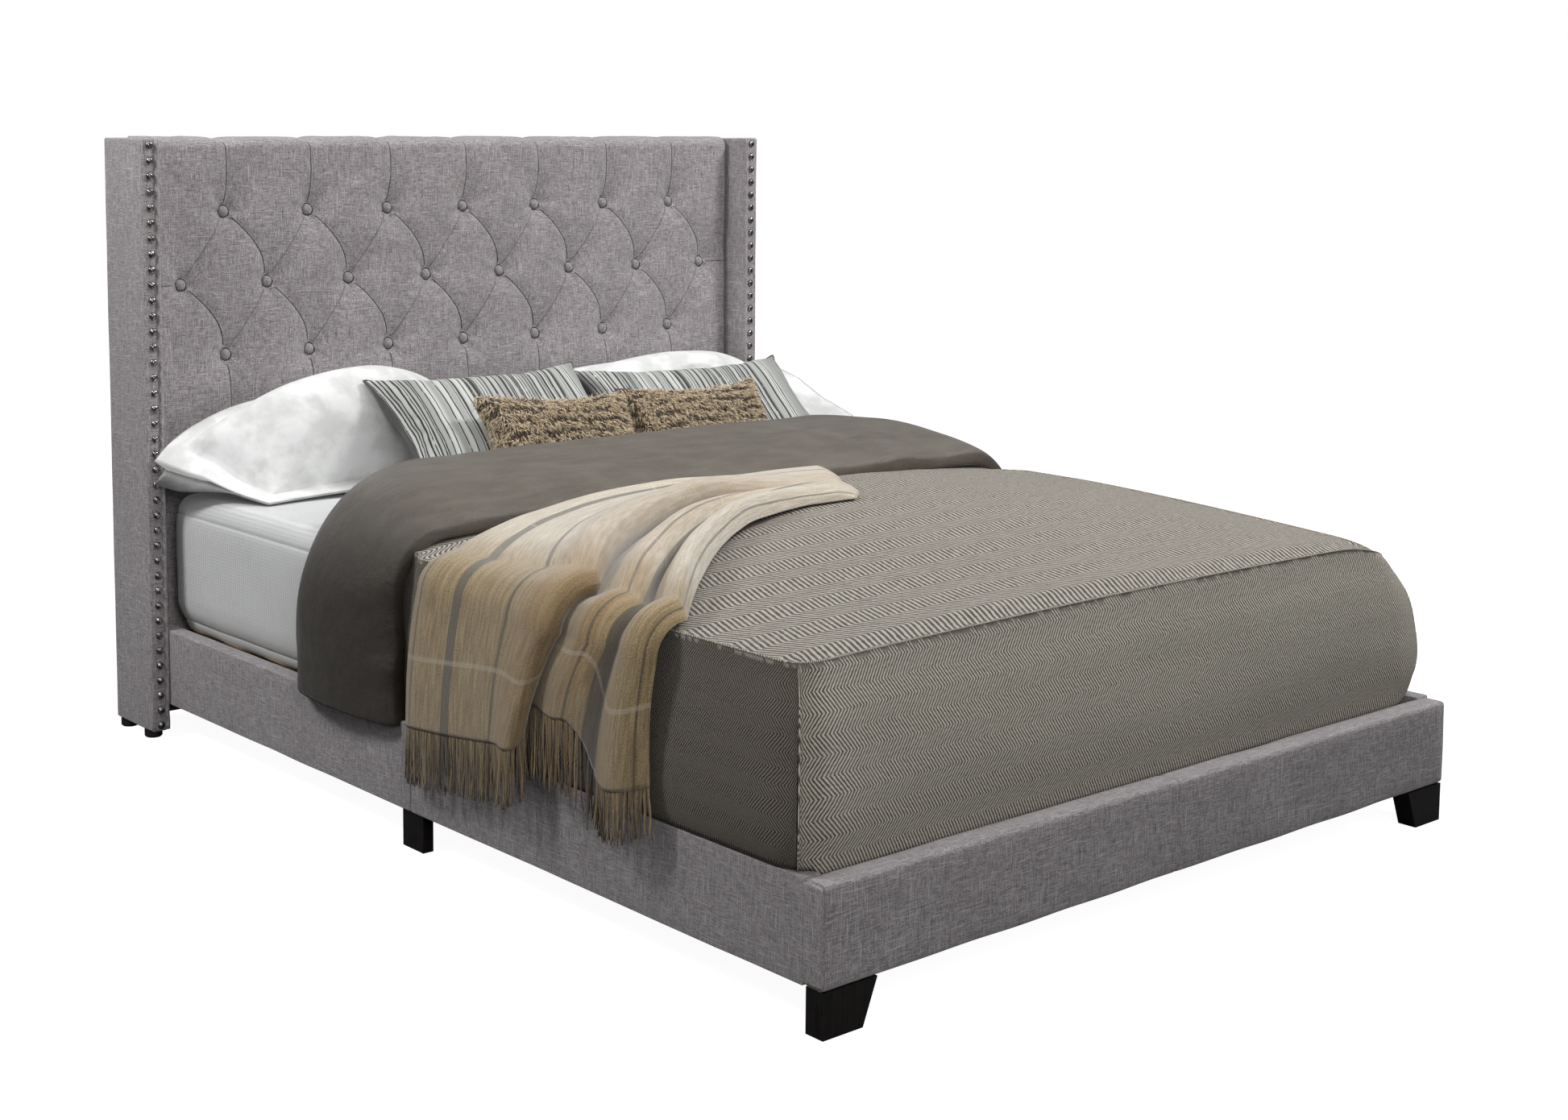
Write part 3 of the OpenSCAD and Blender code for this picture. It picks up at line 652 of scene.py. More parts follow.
def tufted_pad():
    low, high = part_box("tufted_pad")
    radius = 0.028
    y_front, z_top, y_back = low.y, high.z, high.y
    half = high.x
    rise = np.linspace(low.z, z_top - radius, 190)
    arc = np.linspace(0, math.pi / 2, 12)[1:]
    over = np.linspace(y_front + radius, y_back - 0.006, 24)[1:]
    ys = np.concatenate([np.full(len(rise), y_front), y_front + radius * (1 - np.cos(arc)), over])
    zs = np.concatenate([rise, z_top - radius + radius * np.sin(arc), np.full(len(over), z_top)])
    ny = np.concatenate([np.full(len(rise), -1.0), -np.cos(arc), np.zeros(len(over))])
    nz = np.concatenate([np.zeros(len(rise)), np.sin(arc), np.ones(len(over))])
    s = np.concatenate([[0], np.cumsum(np.hypot(np.diff(ys), np.diff(zs)))]) + low.z
    xs = np.linspace(-half, half, 430)
    X, S = np.meshgrid(xs, s, indexing="ij")
    depth, fold = tufting(X, S)
    depth = depth + 0.013 * ease((np.abs(X) - half + 0.016) / 0.016) ** 2
    depth = depth + 0.012 * ease((low.z + 0.012 - S) / 0.012)
    P = points(X, ys - ny * depth, zs - nz * depth)
    # the back of the pad, plain, closes the shell
    inner = [(y_back - 0.002, z_top - 0.010), (y_back - 0.004, z_top - 0.027), (1.041, z_top - 0.029),
             (1.0395, z_top - 0.034), (1.0395, 1.0), (1.0395, 0.75), (1.0395, low.z + 0.002),
             (1.020, low.z)]
    back = np.stack([points(xs, y, z) for y, z in inner], 1)
    P = np.concatenate([P, back], 1)
    fold = np.concatenate([fold, np.tile([1.0, 0, 0], (len(xs), len(inner), 1))], 1)
    n, k = P.shape[:2]
    faces = quads(n, k, around_v=True).tolist() + [list(range(k)), list(range((n - 1) * k, n * k))]
    pad = piece("pad_tufted", P, faces, "bed_frame", "grey_linen", ["tufted_pad"], LINEN_CREASE_SHADED, fold=fold)


def buttons():
    face_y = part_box("tufted_pad")[0].y
    places = [((first + n) * PITCH_X, face_y + BUTTON_SINK, z)
              for z, (count, first) in zip(ROW_Z, BUTTON_ROWS) for n in range(count)]
    verts, faces = gather([dome(np.array(at), (0, -1, 0), BUTTON_R, 0.0085, 8, 24) for at in places])
    piece("covered_buttons", verts, faces, "bed_frame", "grey_linen", ["tuft_buttons"])


def lower_panel():
    low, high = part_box("lower_panel_pad")
    verts, faces = rounded_box(low, high, 0.008, 0.03, seed=3)
    piece("pad_lower", verts, faces, "bed_frame", "grey_linen", ["lower_panel_pad"])


def wings():
    for side, sign in (("left", -1), ("right", 1)):
        low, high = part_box(f"wing_cover_{side}")
        seam = low.y + 0.010
        verts, faces = rounded_box(low, high, 0.006, 0.022, [(1, seam)], 0.0018, 0.0011, 11 + sign)
        piece(f"wing_{side}", verts, faces, "bed_frame", "grey_linen", [f"wing_cover_{side}"])
        inner = low.x if sign > 0 else high.x
        z = np.linspace(low.z + 0.004, high.z - 0.004, 160)
        wave = 0.0008 * noise(z * 31, 0.0, 7 + sign)
        path = points(inner + sign * 0.0048 + wave, low.y + 0.0005, z)
        verts, faces = tube(path, 0.0046 + 0.0004 * noise(z * 60, 1.0, 9), 10)
        piece(f"wing_welt_{side}", verts, faces, "bed_frame", "grey_linen")
        nail_low, nail_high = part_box(f"nailheads_{side}")
        middle = (nail_low.x + nail_high.x) / 2 - sign * 0.001
        places = [np.array([middle, low.y, 0.031 + i * NAIL_PITCH]) for i in range(NAILS)]
        verts, faces = gather([dome(at, (0, -1, 0), 0.0082, 0.0058) for at in places])
        piece(f"nails_{side}", verts, faces, "bed_frame", "nailhead_steel", [f"nailheads_{side}"])


# ---- rails and footboard ----

def stitches(name, rows, step, length, normal):
    """Rows of short topstitches on the frame; rows lists each one's (from, to) points."""
    parts = []
    for a, b in rows:
        a, b = np.array(a, float), np.array(b, float)
        run = np.linalg.norm(b - a)
        way = (b - a) / run
        for k in range(int(run / step)):
            p = a + way * (k + 0.5) * step
            t = np.linspace(-0.5, 0.5, 5)
            lift = 0.0006 * (1 - (2 * t) ** 2)
            path = p + way * (t * length)[:, None] + np.array(normal) * lift[:, None]
            parts.append(tube(path, 0.0006, 5))
    verts, faces = gather(parts)
    piece(name, verts, faces, "bed_frame", "grey_linen")


def rails():
    for side in ("left", "right"):
        for end in ("head", "foot"):
            cover = f"rail_cover_{side}_{end}"
            low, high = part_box(cover)
            if end == "foot":
                low.y -= 0.008                 # into the footboard's padding, over the board's end
            verts, faces = rounded_box(low, high, 0.0035, 0.022, soft=0.0007, seed=len(side) + len(end))
            piece(f"rail_{side}_{end}", verts, faces, "bed_frame", "grey_linen", [cover])


def footboard():
    low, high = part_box("footboard_cover")
    verts, faces = rounded_box(low, high, 0.010, 0.022, [(0, 0.0), (0, low.x + 0.004), (0, high.x - 0.004)],
                               0.0024, 0.0012, 21)
    piece("footboard_pad", verts, faces, "bed_frame", "grey_linen", ["footboard_cover"])
    y = low.y + 0.0012
    rows = [((x, y, low.z + 0.008), (x, y, high.z - 0.010)) for x in (-0.006, 0.006)]
    stitches("footboard_stitches", rows, 0.0052, 0.0036, (0, -1, 0))


# ---- bedding ----

def mattress():
    low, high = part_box("mattress")
    verts, faces = rounded_box(low, high, 0.036, 0.024, [(2, high.z - 0.042), (2, low.z + 0.036)],
                               0.0022, 0.0016, 31)
    x, y, z = verts.T
    bulge = 0.020 * ease((np.abs(x) - 0.60) / 0.15) * ease((z - RAIL_TOP) / 0.05)
    x = x + np.sign(x) * bulge * (1 - 0.5 * ease((z - 0.45) / 0.08))
    # under the comforter its foot corners are round, and its top stays below the comforter's
    x, y = corner_round(x, y, 0.776, low.y, 0.055, CORNER_SLUMP)
    room = comforter_top(x, y) - 0.020 - low.z
    share = np.where(y < 0.1, np.minimum(room / (high.z - low.z), 1), 1)
    verts = points(x, y, low.z + (z - low.z) * share)
    piece("mattress_soft", verts, faces, "mattress", "mattress_knit", ["mattress"])


def corner_round(x, y, half, front, radius, slump):
    """Square foot corners brought onto arcs of that radius, and onto a softer, slumped arc on the right."""
    radius = np.where(x > 0, 2.3 * radius + slump, radius)
    cx, cy = half - radius, front + radius
    dx, dy = np.maximum(np.abs(x) - cx, 0), np.maximum(cy - y, 0)
    near = (dx > 0) & (dy > 0)
    k = np.maximum(dx, dy) / np.maximum(np.hypot(dx, dy), 1e-9)
    return np.where(near, np.sign(x) * (cx + dx * k), x), np.where(near, cy - dy * k, y)


def comforter_top(x, y):
    """Height of the comforter's top over the bed."""
    across = 1 - np.clip(np.abs(x) / TOP_HALF, 0, 1) ** 2.6
    along = 0.35 + 0.65 * ease((y + 1.05) / 0.75)
    slack = 0.0018 * noise(x * 5.5, y * 4.0, 41) + 0.0009 * noise(x * 15, y * 13, 42)
    seam = ease((TOP_HALF - np.abs(x)) / 0.05) * ease((y - TOP_FOOT) / 0.05)
    fall = 0.045 * ease((x - 0.50) / 0.32) ** 1.4 * np.clip(-(y + 0.20) / 0.84, 0, 1) ** 1.4
    rise = 0.010 * (1 - (x / TOP_HALF) ** 2) * ease(-(y + 0.75) / 0.3)
    return SEAM_Z - fall + rise + 0.036 * across * along * seam + slack * seam


WALL_T = (0.0, 0.10, 0.24, 0.45, 0.68, 0.86, 0.96, 1.0)
WALL_OUT = (0.0, 0.005, 0.013, 0.020, 0.023, 0.018, 0.010, 0.004)


def comforter():
    half, front = TOP_HALF, TOP_FOOT
    xs = np.linspace(-half, half, 210)
    ys = np.linspace(front, 0.10, 150)
    t = np.linspace(0, 1, 35)[1:]
    out = through(WALL_T, WALL_OUT, t)
    slump = CORNER_SLUMP * (1 - np.sqrt(1 - np.clip(1 - t / 0.6, 0, 1) ** 2))[:, None]
    X, Y = np.meshgrid(xs, ys, indexing="ij")
    top = points(*corner_round(X, Y, half, front, TOP_ROUND, CORNER_SLUMP), comforter_top(X, Y))
    parts = [(top, quads(len(xs), len(ys)))]
    cloth = [points(X, Y, 0.0)]

    def wall(edge_x, edge_y, way_x, way_y, u, corner):
        """A wall below a line of the top's edge; way is outwards. corner is 0 to 1 near a foot corner."""
        z0 = comforter_top(edge_x, edge_y)
        T = t[:, None]
        swell = out[:, None] * (1 + 0.25 * corner[None])
        ripple = 0.0022 * noise(u[None] * 6, T * 2.2, 51) + 0.0015 * corner[None] * np.sin(T * 9)
        push = swell + ripple * np.sin(T * math.pi)
        return edge_x + way_x * push, edge_y + way_y * push, z0 + (RAIL_TOP + 0.002 - z0) * T

    def hung(edge_x, edge_y, rows, along, scale, start, side):
        """Adds a wall below the top's own edge, with its place in the cloth."""
        first = points(*corner_round(edge_x, edge_y, half, front, TOP_ROUND, CORNER_SLUMP),
                       comforter_top(edge_x, edge_y))
        grid = np.concatenate([first[None], rows])
        parts.append((grid, quads(*grid.shape[:2])))
        # cloth.z, 1 on the sides and 0.5 in front, sets the herringbone's painted shade and painted light
        cloth.append(points(along, (SEAM_Z - grid[..., 2]) * scale + start, side))

    def drawn_in(verts):
        """Narrower where it runs on under the folded band."""
        return verts * points(1 - 0.036 * ease((verts[:, 1] + 0.05) / 0.05), 1.0, 1.0)

    for sign in (-1, 1):
        edge_y = ys[::-1] if sign < 0 else ys
        edge_x = np.full_like(edge_y, sign * half)
        corner = bell(edge_y - front, 0.12)
        wx, wy, wz = wall(edge_x, edge_y, sign, 0.0, edge_y, corner)
        scale = np.abs(wx) / half
        rx, ry = corner_round(wx / scale, wy, half, front, 0.050, slump)
        near = bell(edge_y - front, 0.06)[None]
        wx, wy = rx * scale, ry - near * (scale - 1) * half * 0.9
        hung(edge_x, edge_y, points(wx, wy, wz), edge_y * 2.3, 2.3, 0.7, 1.0)
    edge_x, edge_y = xs, np.full_like(xs, front)
    corner = bell(np.abs(edge_x) - half, 0.12)
    wx, wy, wz = wall(edge_x, edge_y, 0.0, -1.0, edge_x, corner)
    wy = wy - 0.0045 * t[:, None] ** 6
    scale = 1 + (front - wy) / half * 0.9
    rx, ry = corner_round(wx, np.full_like(wx, front), half, front, 0.050, slump)
    near = bell(np.abs(edge_x) - half, 0.06)[None]
    wx, wy = rx * (1 + (scale - 1) * near), ry - (front - wy)
    wz = wz - 0.014 * t[:, None] ** 4 * ease((0.786 - np.abs(edge_x)) / 0.012)
    hung(edge_x, edge_y, points(wx, wy, wz), edge_x * 1.8, 1.8, 0.2, 0.5)
    welts = []
    for grid, _ in parts[1:]:
        edge = grid[0]
        welts.append(tube(edge[edge[:, 1] < 0.012][::2], 0.0013, 7))
    foot = parts[3][0]
    for line in (foot[:, 0], foot[:, -1]):
        welts.append(tube(line[1:], 0.0018, 7))
    verts, faces = gather(welts)
    verts = drawn_in(verts)
    # z 0.5: the seams take the front's painted light
    piece("comforter_seams", verts, faces, "comforter", "herringbone",
          cloth=verts[:, [0, 1, 1]] * [3.0, 3.0, 0.0] + [0.0, 0.0, 0.5])
    verts, faces = gather(parts)
    made = piece("comforter_soft", drawn_in(verts), faces, "comforter", "herringbone", ["comforter"],
                 cloth=np.concatenate([c.reshape(-1, 3) for c in cloth]))
    thicken(made, 0.016, weld=True)


def thicken(obj, thickness, weld=False, offset=-1.0):
    """Weld the piece's own borders together and give it a thickness inwards, applied."""
    if weld:
        work = bmesh.new()
        work.from_mesh(obj.data)
        bmesh.ops.remove_doubles(work, verts=work.verts, dist=0.0012)
        bmesh.ops.recalc_face_normals(work, faces=work.faces)
        work.to_mesh(obj.data)
        work.free()
    solid = obj.modifiers.new("thickness", "SOLIDIFY")
    solid.thickness, solid.offset = thickness, offset
    apply_modifiers(obj)


def apply_modifiers(obj):
    bpy.context.view_layer.update()
    made = bpy.data.meshes.new_from_object(obj.evaluated_get(bpy.context.evaluated_depsgraph_get()))
    obj.modifiers.clear()
    obj.data = made


def fold_band():
    """The comforter's folded-over head end: a thick closed band over the bed, rolled at its head edge."""
    y0, y1 = 0.014, 0.412
    s = np.linspace(-1, 1, 260)                # up the left side, over the top and down the right side
    n_around = 96                              # foot edge, outer face, head edge, inner face
    P = np.zeros((len(s), n_around, 3))
    cloth = np.zeros_like(P)
    for k, angle in enumerate(np.linspace(0, 2 * math.pi, n_around, endpoint=False)):
        outer = 0.5 - 0.5 * math.cos(angle)    # 0 at the foot edge, 1 at the head edge
        up = math.sin(angle)                   # 1 on the outer face, -1 on the inner
        y = y0 + (y1 - y0) * outer
        head = ease((outer - 0.72) / 0.28)
        thick = 0.030 + 0.012 * math.sin(math.pi * outer) + 0.008 * head
        skin = thick * np.sign(up) * abs(up) ** 0.45
        # the line across the bed at this distance along it: half the top, a corner arc and the side
        crown = 0.574 + 0.036 * outer
        wide = 0.806 + 0.006 * math.sin(math.pi * outer) - 0.030 * head
        corner = 0.10 + 0.16 * outer
        total_top = wide - corner
        arc_len = corner * math.pi / 2
        total = total_top + arc_len + max(crown - corner - RAIL_TOP, 0.02)
        d = np.abs(s) * total
        on_top = np.minimum(d, total_top)
        ang = np.clip((d - total_top) / arc_len, 0, 1) * math.pi / 2
        down = np.clip(d - total_top - arc_len, 0, None)
        x = on_top + corner * np.sin(ang)
        z = crown - corner * (1 - np.cos(ang)) - down - 0.010 * (on_top / total_top) ** 2 * (1 - outer)
        nx, nz = np.sin(ang), np.cos(ang)
        pucker = 0.0028 * noise(d * np.sign(s) * 24 + 3, outer * 3.0, 61) * bell(outer, 0.25)
        slack = 0.0035 * noise(s * 7, outer * 2.4, 62) + 0.0018 * noise(s * 23, outer * 5, 63)
        lift = skin + (pucker + slack) * (up > 0) + 0.012
        edge = 0.004 * noise(s * 16, 0.0, 64) * (1 - outer) + 0.006 * noise(s * 6, 3.0, 65) * outer
        P[:, k] = points(np.sign(s) * (x + nx * lift), y + edge, z + nz * lift)
        # cloth.z grows where the band turns down the sides: the sateen's painted shade
        cloth[:, k] = points(s * total, y, ease(ang / 1.2))
    faces = quads(len(s), n_around, around_v=True).tolist()
    faces += [list(range(n_around)), list(range((len(s) - 1) * n_around, len(s) * n_around))]
    made = piece("fold_band", P, faces, "comforter", "taupe_sateen", ["comforter_fold"], cloth=cloth)


# ---- throw ----

THROW_SIDE_X = -0.842                          # where it hangs, just outside the comforter
THROW_REACH = 1.30                             # length from its gathered end to its hem
# across the cloth: its place across the throw at the bed's edge and at the hem, and how far it stands off
THROW_SHARE = (0, 0.05, 0.20, 0.36, 0.44, 0.475, 0.495, 0.515, 0.54, 0.57,
               0.62, 0.68, 0.72, 0.745, 0.77, 0.80, 0.86, 0.92, 0.97, 1)
THROW_AT_EDGE = (0, 0.05, 0.23, 0.44, 0.575, 0.635, 0.652, 0.640, 0.625, 0.645,
                 0.70, 0.755, 0.80, 0.835, 0.865, 0.885, 0.925, 0.965, 0.993, 1)
THROW_AT_HEM = (0, 0.035, 0.21, 0.41, 0.49, 0.53, 0.542, 0.530, 0.520, 0.540,
                0.60, 0.68, 0.73, 0.77, 0.80, 0.825, 0.88, 0.94, 0.98, 1)
THROW_STANDS = (0.004, 0.012, 0.015, 0.022, 0.036, 0.034, 0.022, 0.010, 0.003, 0.004,
                0.012, 0.021, 0.016, 0.006, 0.003, 0.010, 0.027, 0.029, 0.014, 0.004)


def throw_path(a):
    """The line down the throw at share a across: its start, pull and end on the bed's top, its hem's y."""
    marks = (0, 0.25, 0.56, 0.65, 0.80, 0.90, 1)
    start = np.array([through(marks, (0.185, 0.200, 0.170, 0.130, 0.03, 0.115, 0.08), a),
                      through(marks, (-0.035, -0.055, -0.110, -0.150, -0.190, -0.205, -0.245), a)])
    middle = np.array([through(marks, (-0.360, -0.370, -0.385, -0.360, -0.330, -0.310, -0.297), a),
                       through(marks, (0.000, -0.060, -0.195, -0.232, -0.270, -0.305, -0.345), a)])
    end_y = through(marks, (-0.112, -0.268, -0.490, -0.545, -0.640, -0.705, -0.765), a)
    end = np.array([np.full_like(a, -0.797), end_y])
    return start, 2 * middle - (start + end) / 2, end, -0.055 - 0.690 * a


def throw():
    n_m, n_b, bend_r = 330, 170, 0.045
    fine = np.linspace(0, 1, 140)
    b = np.linspace(0, 1, n_b)
    m = np.linspace(0, 1, n_m)
    hem_z = through((0, 0.20, 0.40, 0.48, 0.53, 0.58, 0.66, 0.73, 0.765, 0.80, 1),
                    (0.247, 0.263, 0.288, 0.297, 0.352, 0.366, 0.362, 0.352, 0.300, 0.287, 0.300), m)
    at_edge = through(THROW_SHARE, THROW_AT_EDGE, m)
    at_hem = through(THROW_SHARE, THROW_AT_HEM, m)
    stands = through(THROW_SHARE, THROW_STANDS, m)
    start, pull, end, hem_y = throw_path(fine)
    q = np.linspace(0, 1, 110)[:, None, None]
    flat = (1 - q) ** 2 * start + 2 * q * (1 - q) * pull + q**2 * end      # along, xy, across
    top = points(flat[:, 0], flat[:, 1], comforter_top(flat[:, 0], flat[:, 1]) + 0.003)
    P, N, length = np.zeros((n_m, n_b, 3)), np.zeros((n_m, n_b, 3)), np.zeros((n_m, n_b))
    turn = np.linspace(0, math.pi / 2, 18)[1:]
    g = np.linspace(0, 1, 60)[1:]
    top = np.moveaxis(top, 1, 0)

    def across(table, place):
        """The row of a table at that share across the throw."""
        k = min(int(place * 139), 138)
        w = place * 139 - k
        return table[k] * (1 - w) + table[k + 1] * w

    for i in range(n_m):
        line = across(top, at_edge[i])
        e = line[-1]
        last_y = across(hem_y, at_hem[i])
        bend = points(e[0] - bend_r * np.sin(turn), e[1] + (last_y - e[1]) * 0.10 * turn,
                      e[2] - bend_r * (1 - np.cos(turn)))
        drop = bend[-1]
        fall = points(THROW_SIDE_X - 0.006 * np.sin(g * math.pi), drop[1] + (last_y - drop[1]) * g**0.85,
                      drop[2] + (hem_z[i] - drop[2]) * g)
        line = np.concatenate([line, bend, fall])
        d = np.concatenate([[0], np.cumsum(np.linalg.norm(np.diff(line, axis=0), axis=1))])
        want = b * d[-1]
        P[i] = np.stack([np.interp(want, d, line[:, k]) for k in range(3)], -1)
        length[i] = want + THROW_REACH - d[-1]
        angle = np.clip((want - d[109]) / (bend_r * math.pi / 2), 0, 1) * math.pi / 2
        N[i] = points(-np.sin(angle), 0.0, np.cos(angle))
    M, B = np.meshgrid(m, b, indexing="ij")
    rolls = 0.034 * np.sin(math.pi * np.clip(M / 0.53, 0, 1)) ** 0.7 + 0.030 * np.sin(
        math.pi * np.clip((M - 0.58) / 0.42, 0, 1)) ** 0.7
    open_up = ease((B - 0.03) / 0.30)
    hang = ease((B - 0.62) / 0.3)
    lift = rolls * (1 - open_up) + stands[:, None] * open_up * (1.50 - 0.75 * hang)
    waves = 0.0045 * noise(M * 9, B * 3.0, 71) + 0.0020 * noise(M * 24, B * 7, 72)
    lift += 0.006 * bell(M - 0.445, 0.03) * open_up * (1 - hang)
    lift += (waves + 0.005) * open_up * (0.4 + 0.6 * np.clip(stands[:, None] / 0.012, 0, 1))
    lift = lift * np.clip(B / 0.035, 0.02, 1) ** 0.5 + 0.001
    P = P + N * lift[..., None]
    # painted shade along the creases beside the rolls, through cloth.z
    crease = 0.75 * bell(M - 0.530, 0.045) + 0.70 * bell(M - 0.770, 0.026) + 0.20 * bell(M - 0.62, 0.05)
    cloth = points(M, length, crease * ease((B - 0.10) / 0.25))
    made = piece("throw_soft", P, quads(n_m, n_b), "throw", "plaid_wool", ["throw"], cloth=cloth)
    thicken(made, 0.0045, offset=1.0)
    fringe = throw_fringe(m, P[:, -1])


def throw_fringe(m, hem):
    """Twisted strands hanging from the hem's points; m is the share across the throw of each."""
    rng = np.random.RandomState(5)
    parts, tones = [], []
    count = 250
    for k in range(count):
        share = (k + 0.5 + rng.uniform(-0.3, 0.3)) / count
        i = int(share * (len(m) - 1))
        clump = math.sin(share * 150.0) * 0.007 + rng.uniform(-0.003, 0.003)
        size = (0.098 if share < 0.5 else 0.118 if share < 0.76 else 0.078) + 0.014 * rng.rand()
        t = np.linspace(0, 1, 10)
        drift = points(-0.0015 - 0.003 * np.sin(t * 2.5 + k) * t - 0.002 * rng.rand() * t,
                       clump * t**1.3 + 0.003 * np.sin(t * 6 + 2 * k) * t, 0.004 - size * t)
        twist = 1 + 0.22 * np.sin(t * 36 + k)
        parts.append(tube(hem[i] + drift, 0.0016 * (1 - 0.3 * t) * twist, 5))
        shade = rng.rand() * (0.55 + 0.45 * t) if rng.rand() < 0.7 else 0.65 + 0.35 * t
        tones.append(points(m[i], THROW_REACH, np.repeat(shade, 5)))
    verts, faces = gather(parts)
    return piece("throw_fringe", verts, faces, "throw", "plaid_wool", cloth=np.concatenate(tones))


# ---- pillows ----

def border(nu, nv):
    """Grid points once round the rim."""
    rim = [(i, 0) for i in range(nu)] + [(nu - 1, j) for j in range(1, nv)]
    rim += [(i, nv - 1) for i in range(nu - 2, -1, -1)] + [(0, j) for j in range(nv - 2, 0, -1)]
    return np.array(rim).T


def sewn(w, h, t, seed, n):
    """A pillow lying flat, its two faces sharing a seam: points, faces, own (x, y, front), seam points."""
    nu, nv = n
    U, V = np.meshgrid(np.linspace(-1, 1, nu), np.linspace(-1, 1, nv), indexing="ij")
    body = t / 2 * ((1 - np.abs(U) ** 2.5) * (1 - np.abs(V) ** 2.5)) ** 0.6
    inner = np.zeros((nu, nv), bool)
    inner[1:-1, 1:-1] = True
    number = np.arange(nu * nv).reshape(nu, nv)
    under = number.copy()
    under[inner] = nu * nv + np.arange(inner.sum())
    slack = 0.0016 * noise(U * 6 + 3, V * 5, seed) * inner
    x = U * w / 2 * (1 - 0.035 * (1 - V**2))
    y = V * h / 2 * (1 - 0.05 * (1 - U**2))
    verts = np.concatenate([points(x, y, body + slack).reshape(-1, 3), points(x, y, slack - body)[inner]])
    q = quads(nu, nv)
    faces = np.concatenate([number.ravel()[q], under.ravel()[q][:, ::-1]])
    own = np.concatenate([points(U * w / 2, V * h / 2, inner * 1.0).reshape(-1, 3),
                          points(U * w / 2, V * h / 2, 0.0)[inner]])
    i, j = border(nu, nv)
    return verts, faces, own, i * nv + j


def inflate(verts, faces, pressure, cap, hold=None, frames=20):
    """A closed cloth's points blown up by Blender's Cloth, none further than cap; held ones stay."""
    mesh = new_mesh("sim", verts, faces)
    work = add("sim", mesh)
    cloth = work.modifiers.new("cloth", "CLOTH")
    how = cloth.settings
    how.quality, how.mass = 5, 0.3
    how.tension_stiffness = how.compression_stiffness = 15.0
    how.shear_stiffness, how.bending_stiffness = 5.0, 0.4
    how.use_pressure, how.uniform_pressure_force = True, pressure
    how.effector_weights.gravity = 0.0
    if hold is not None:
        group = work.vertex_groups.new(name="hold")
        group.add([int(k) for k in np.flatnonzero(hold)], 1.0, "REPLACE")
        how.vertex_group_mass = "hold"
    cloth.point_cache.frame_start, cloth.point_cache.frame_end = 1, frames
    for frame_number in range(1, frames + 1):
        bpy.context.scene.frame_set(frame_number)
    done = work.evaluated_get(bpy.context.evaluated_depsgraph_get())
    after = np.zeros(len(verts) * 3)
    done.data.vertices.foreach_get("co", after)
    bpy.data.objects.remove(work)
    bpy.data.meshes.remove(mesh)
    bpy.context.scene.frame_set(1)
    move = after.reshape(-1, 3) - verts
    far = np.linalg.norm(move, axis=1, keepdims=True)
    return verts + move * (cap * np.tanh(far / cap) / np.maximum(far, 1e-9))


def subdivide(obj):
    obj.modifiers.new("smooth", "SUBSURF").levels = 1
    apply_modifiers(obj)


def placed(verts, centre, lean, spin=0.0):
    turn = Matrix.Rotation(math.radians(lean), 3, "X") @ Matrix.Rotation(math.radians(spin), 3, "Z")
    return verts @ np.array(turn).T + np.array(centre)


SHAM_FLANGE = 0.05
# from outer end to inner end: the places of the front and back edges, and how far the face crowns
SHAMS = {
    "left": dict(sign=-1, seed=80, crown=0.163, sharp=0.68, front_x=(0.703, 0.06), back_x=(0.849, 0.06),
                 front_y=(0.695, 0.712, 0.726, 0.745), back_y=(0.922, 0.945, 0.955, 0.958),
                 front_z=(0.530, 0.533, 0.535, 0.536), gape=0.046,
                 top=(0, 0.03, 0.09, 0.16, 0.25, 0.50, 0.75, 1),
                 back_z=(0.604, 0.627, 0.658, 0.682, 0.703, 0.722, 0.725, 0.700)),
    "right": dict(sign=1, seed=84, crown=0.118, sharp=0.75, front_x=(0.912, 0.06), back_x=(0.900, 0.06),
                  front_y=(0.615, 0.680, 0.726, 0.745), back_y=(0.885, 0.945, 0.955, 0.958),
                  front_z=(0.592, 0.552, 0.536, 0.536), gape=0.0,
                  top=(0, 0.25, 0.6, 1), back_z=(0.690, 0.728, 0.730, 0.700)),
}


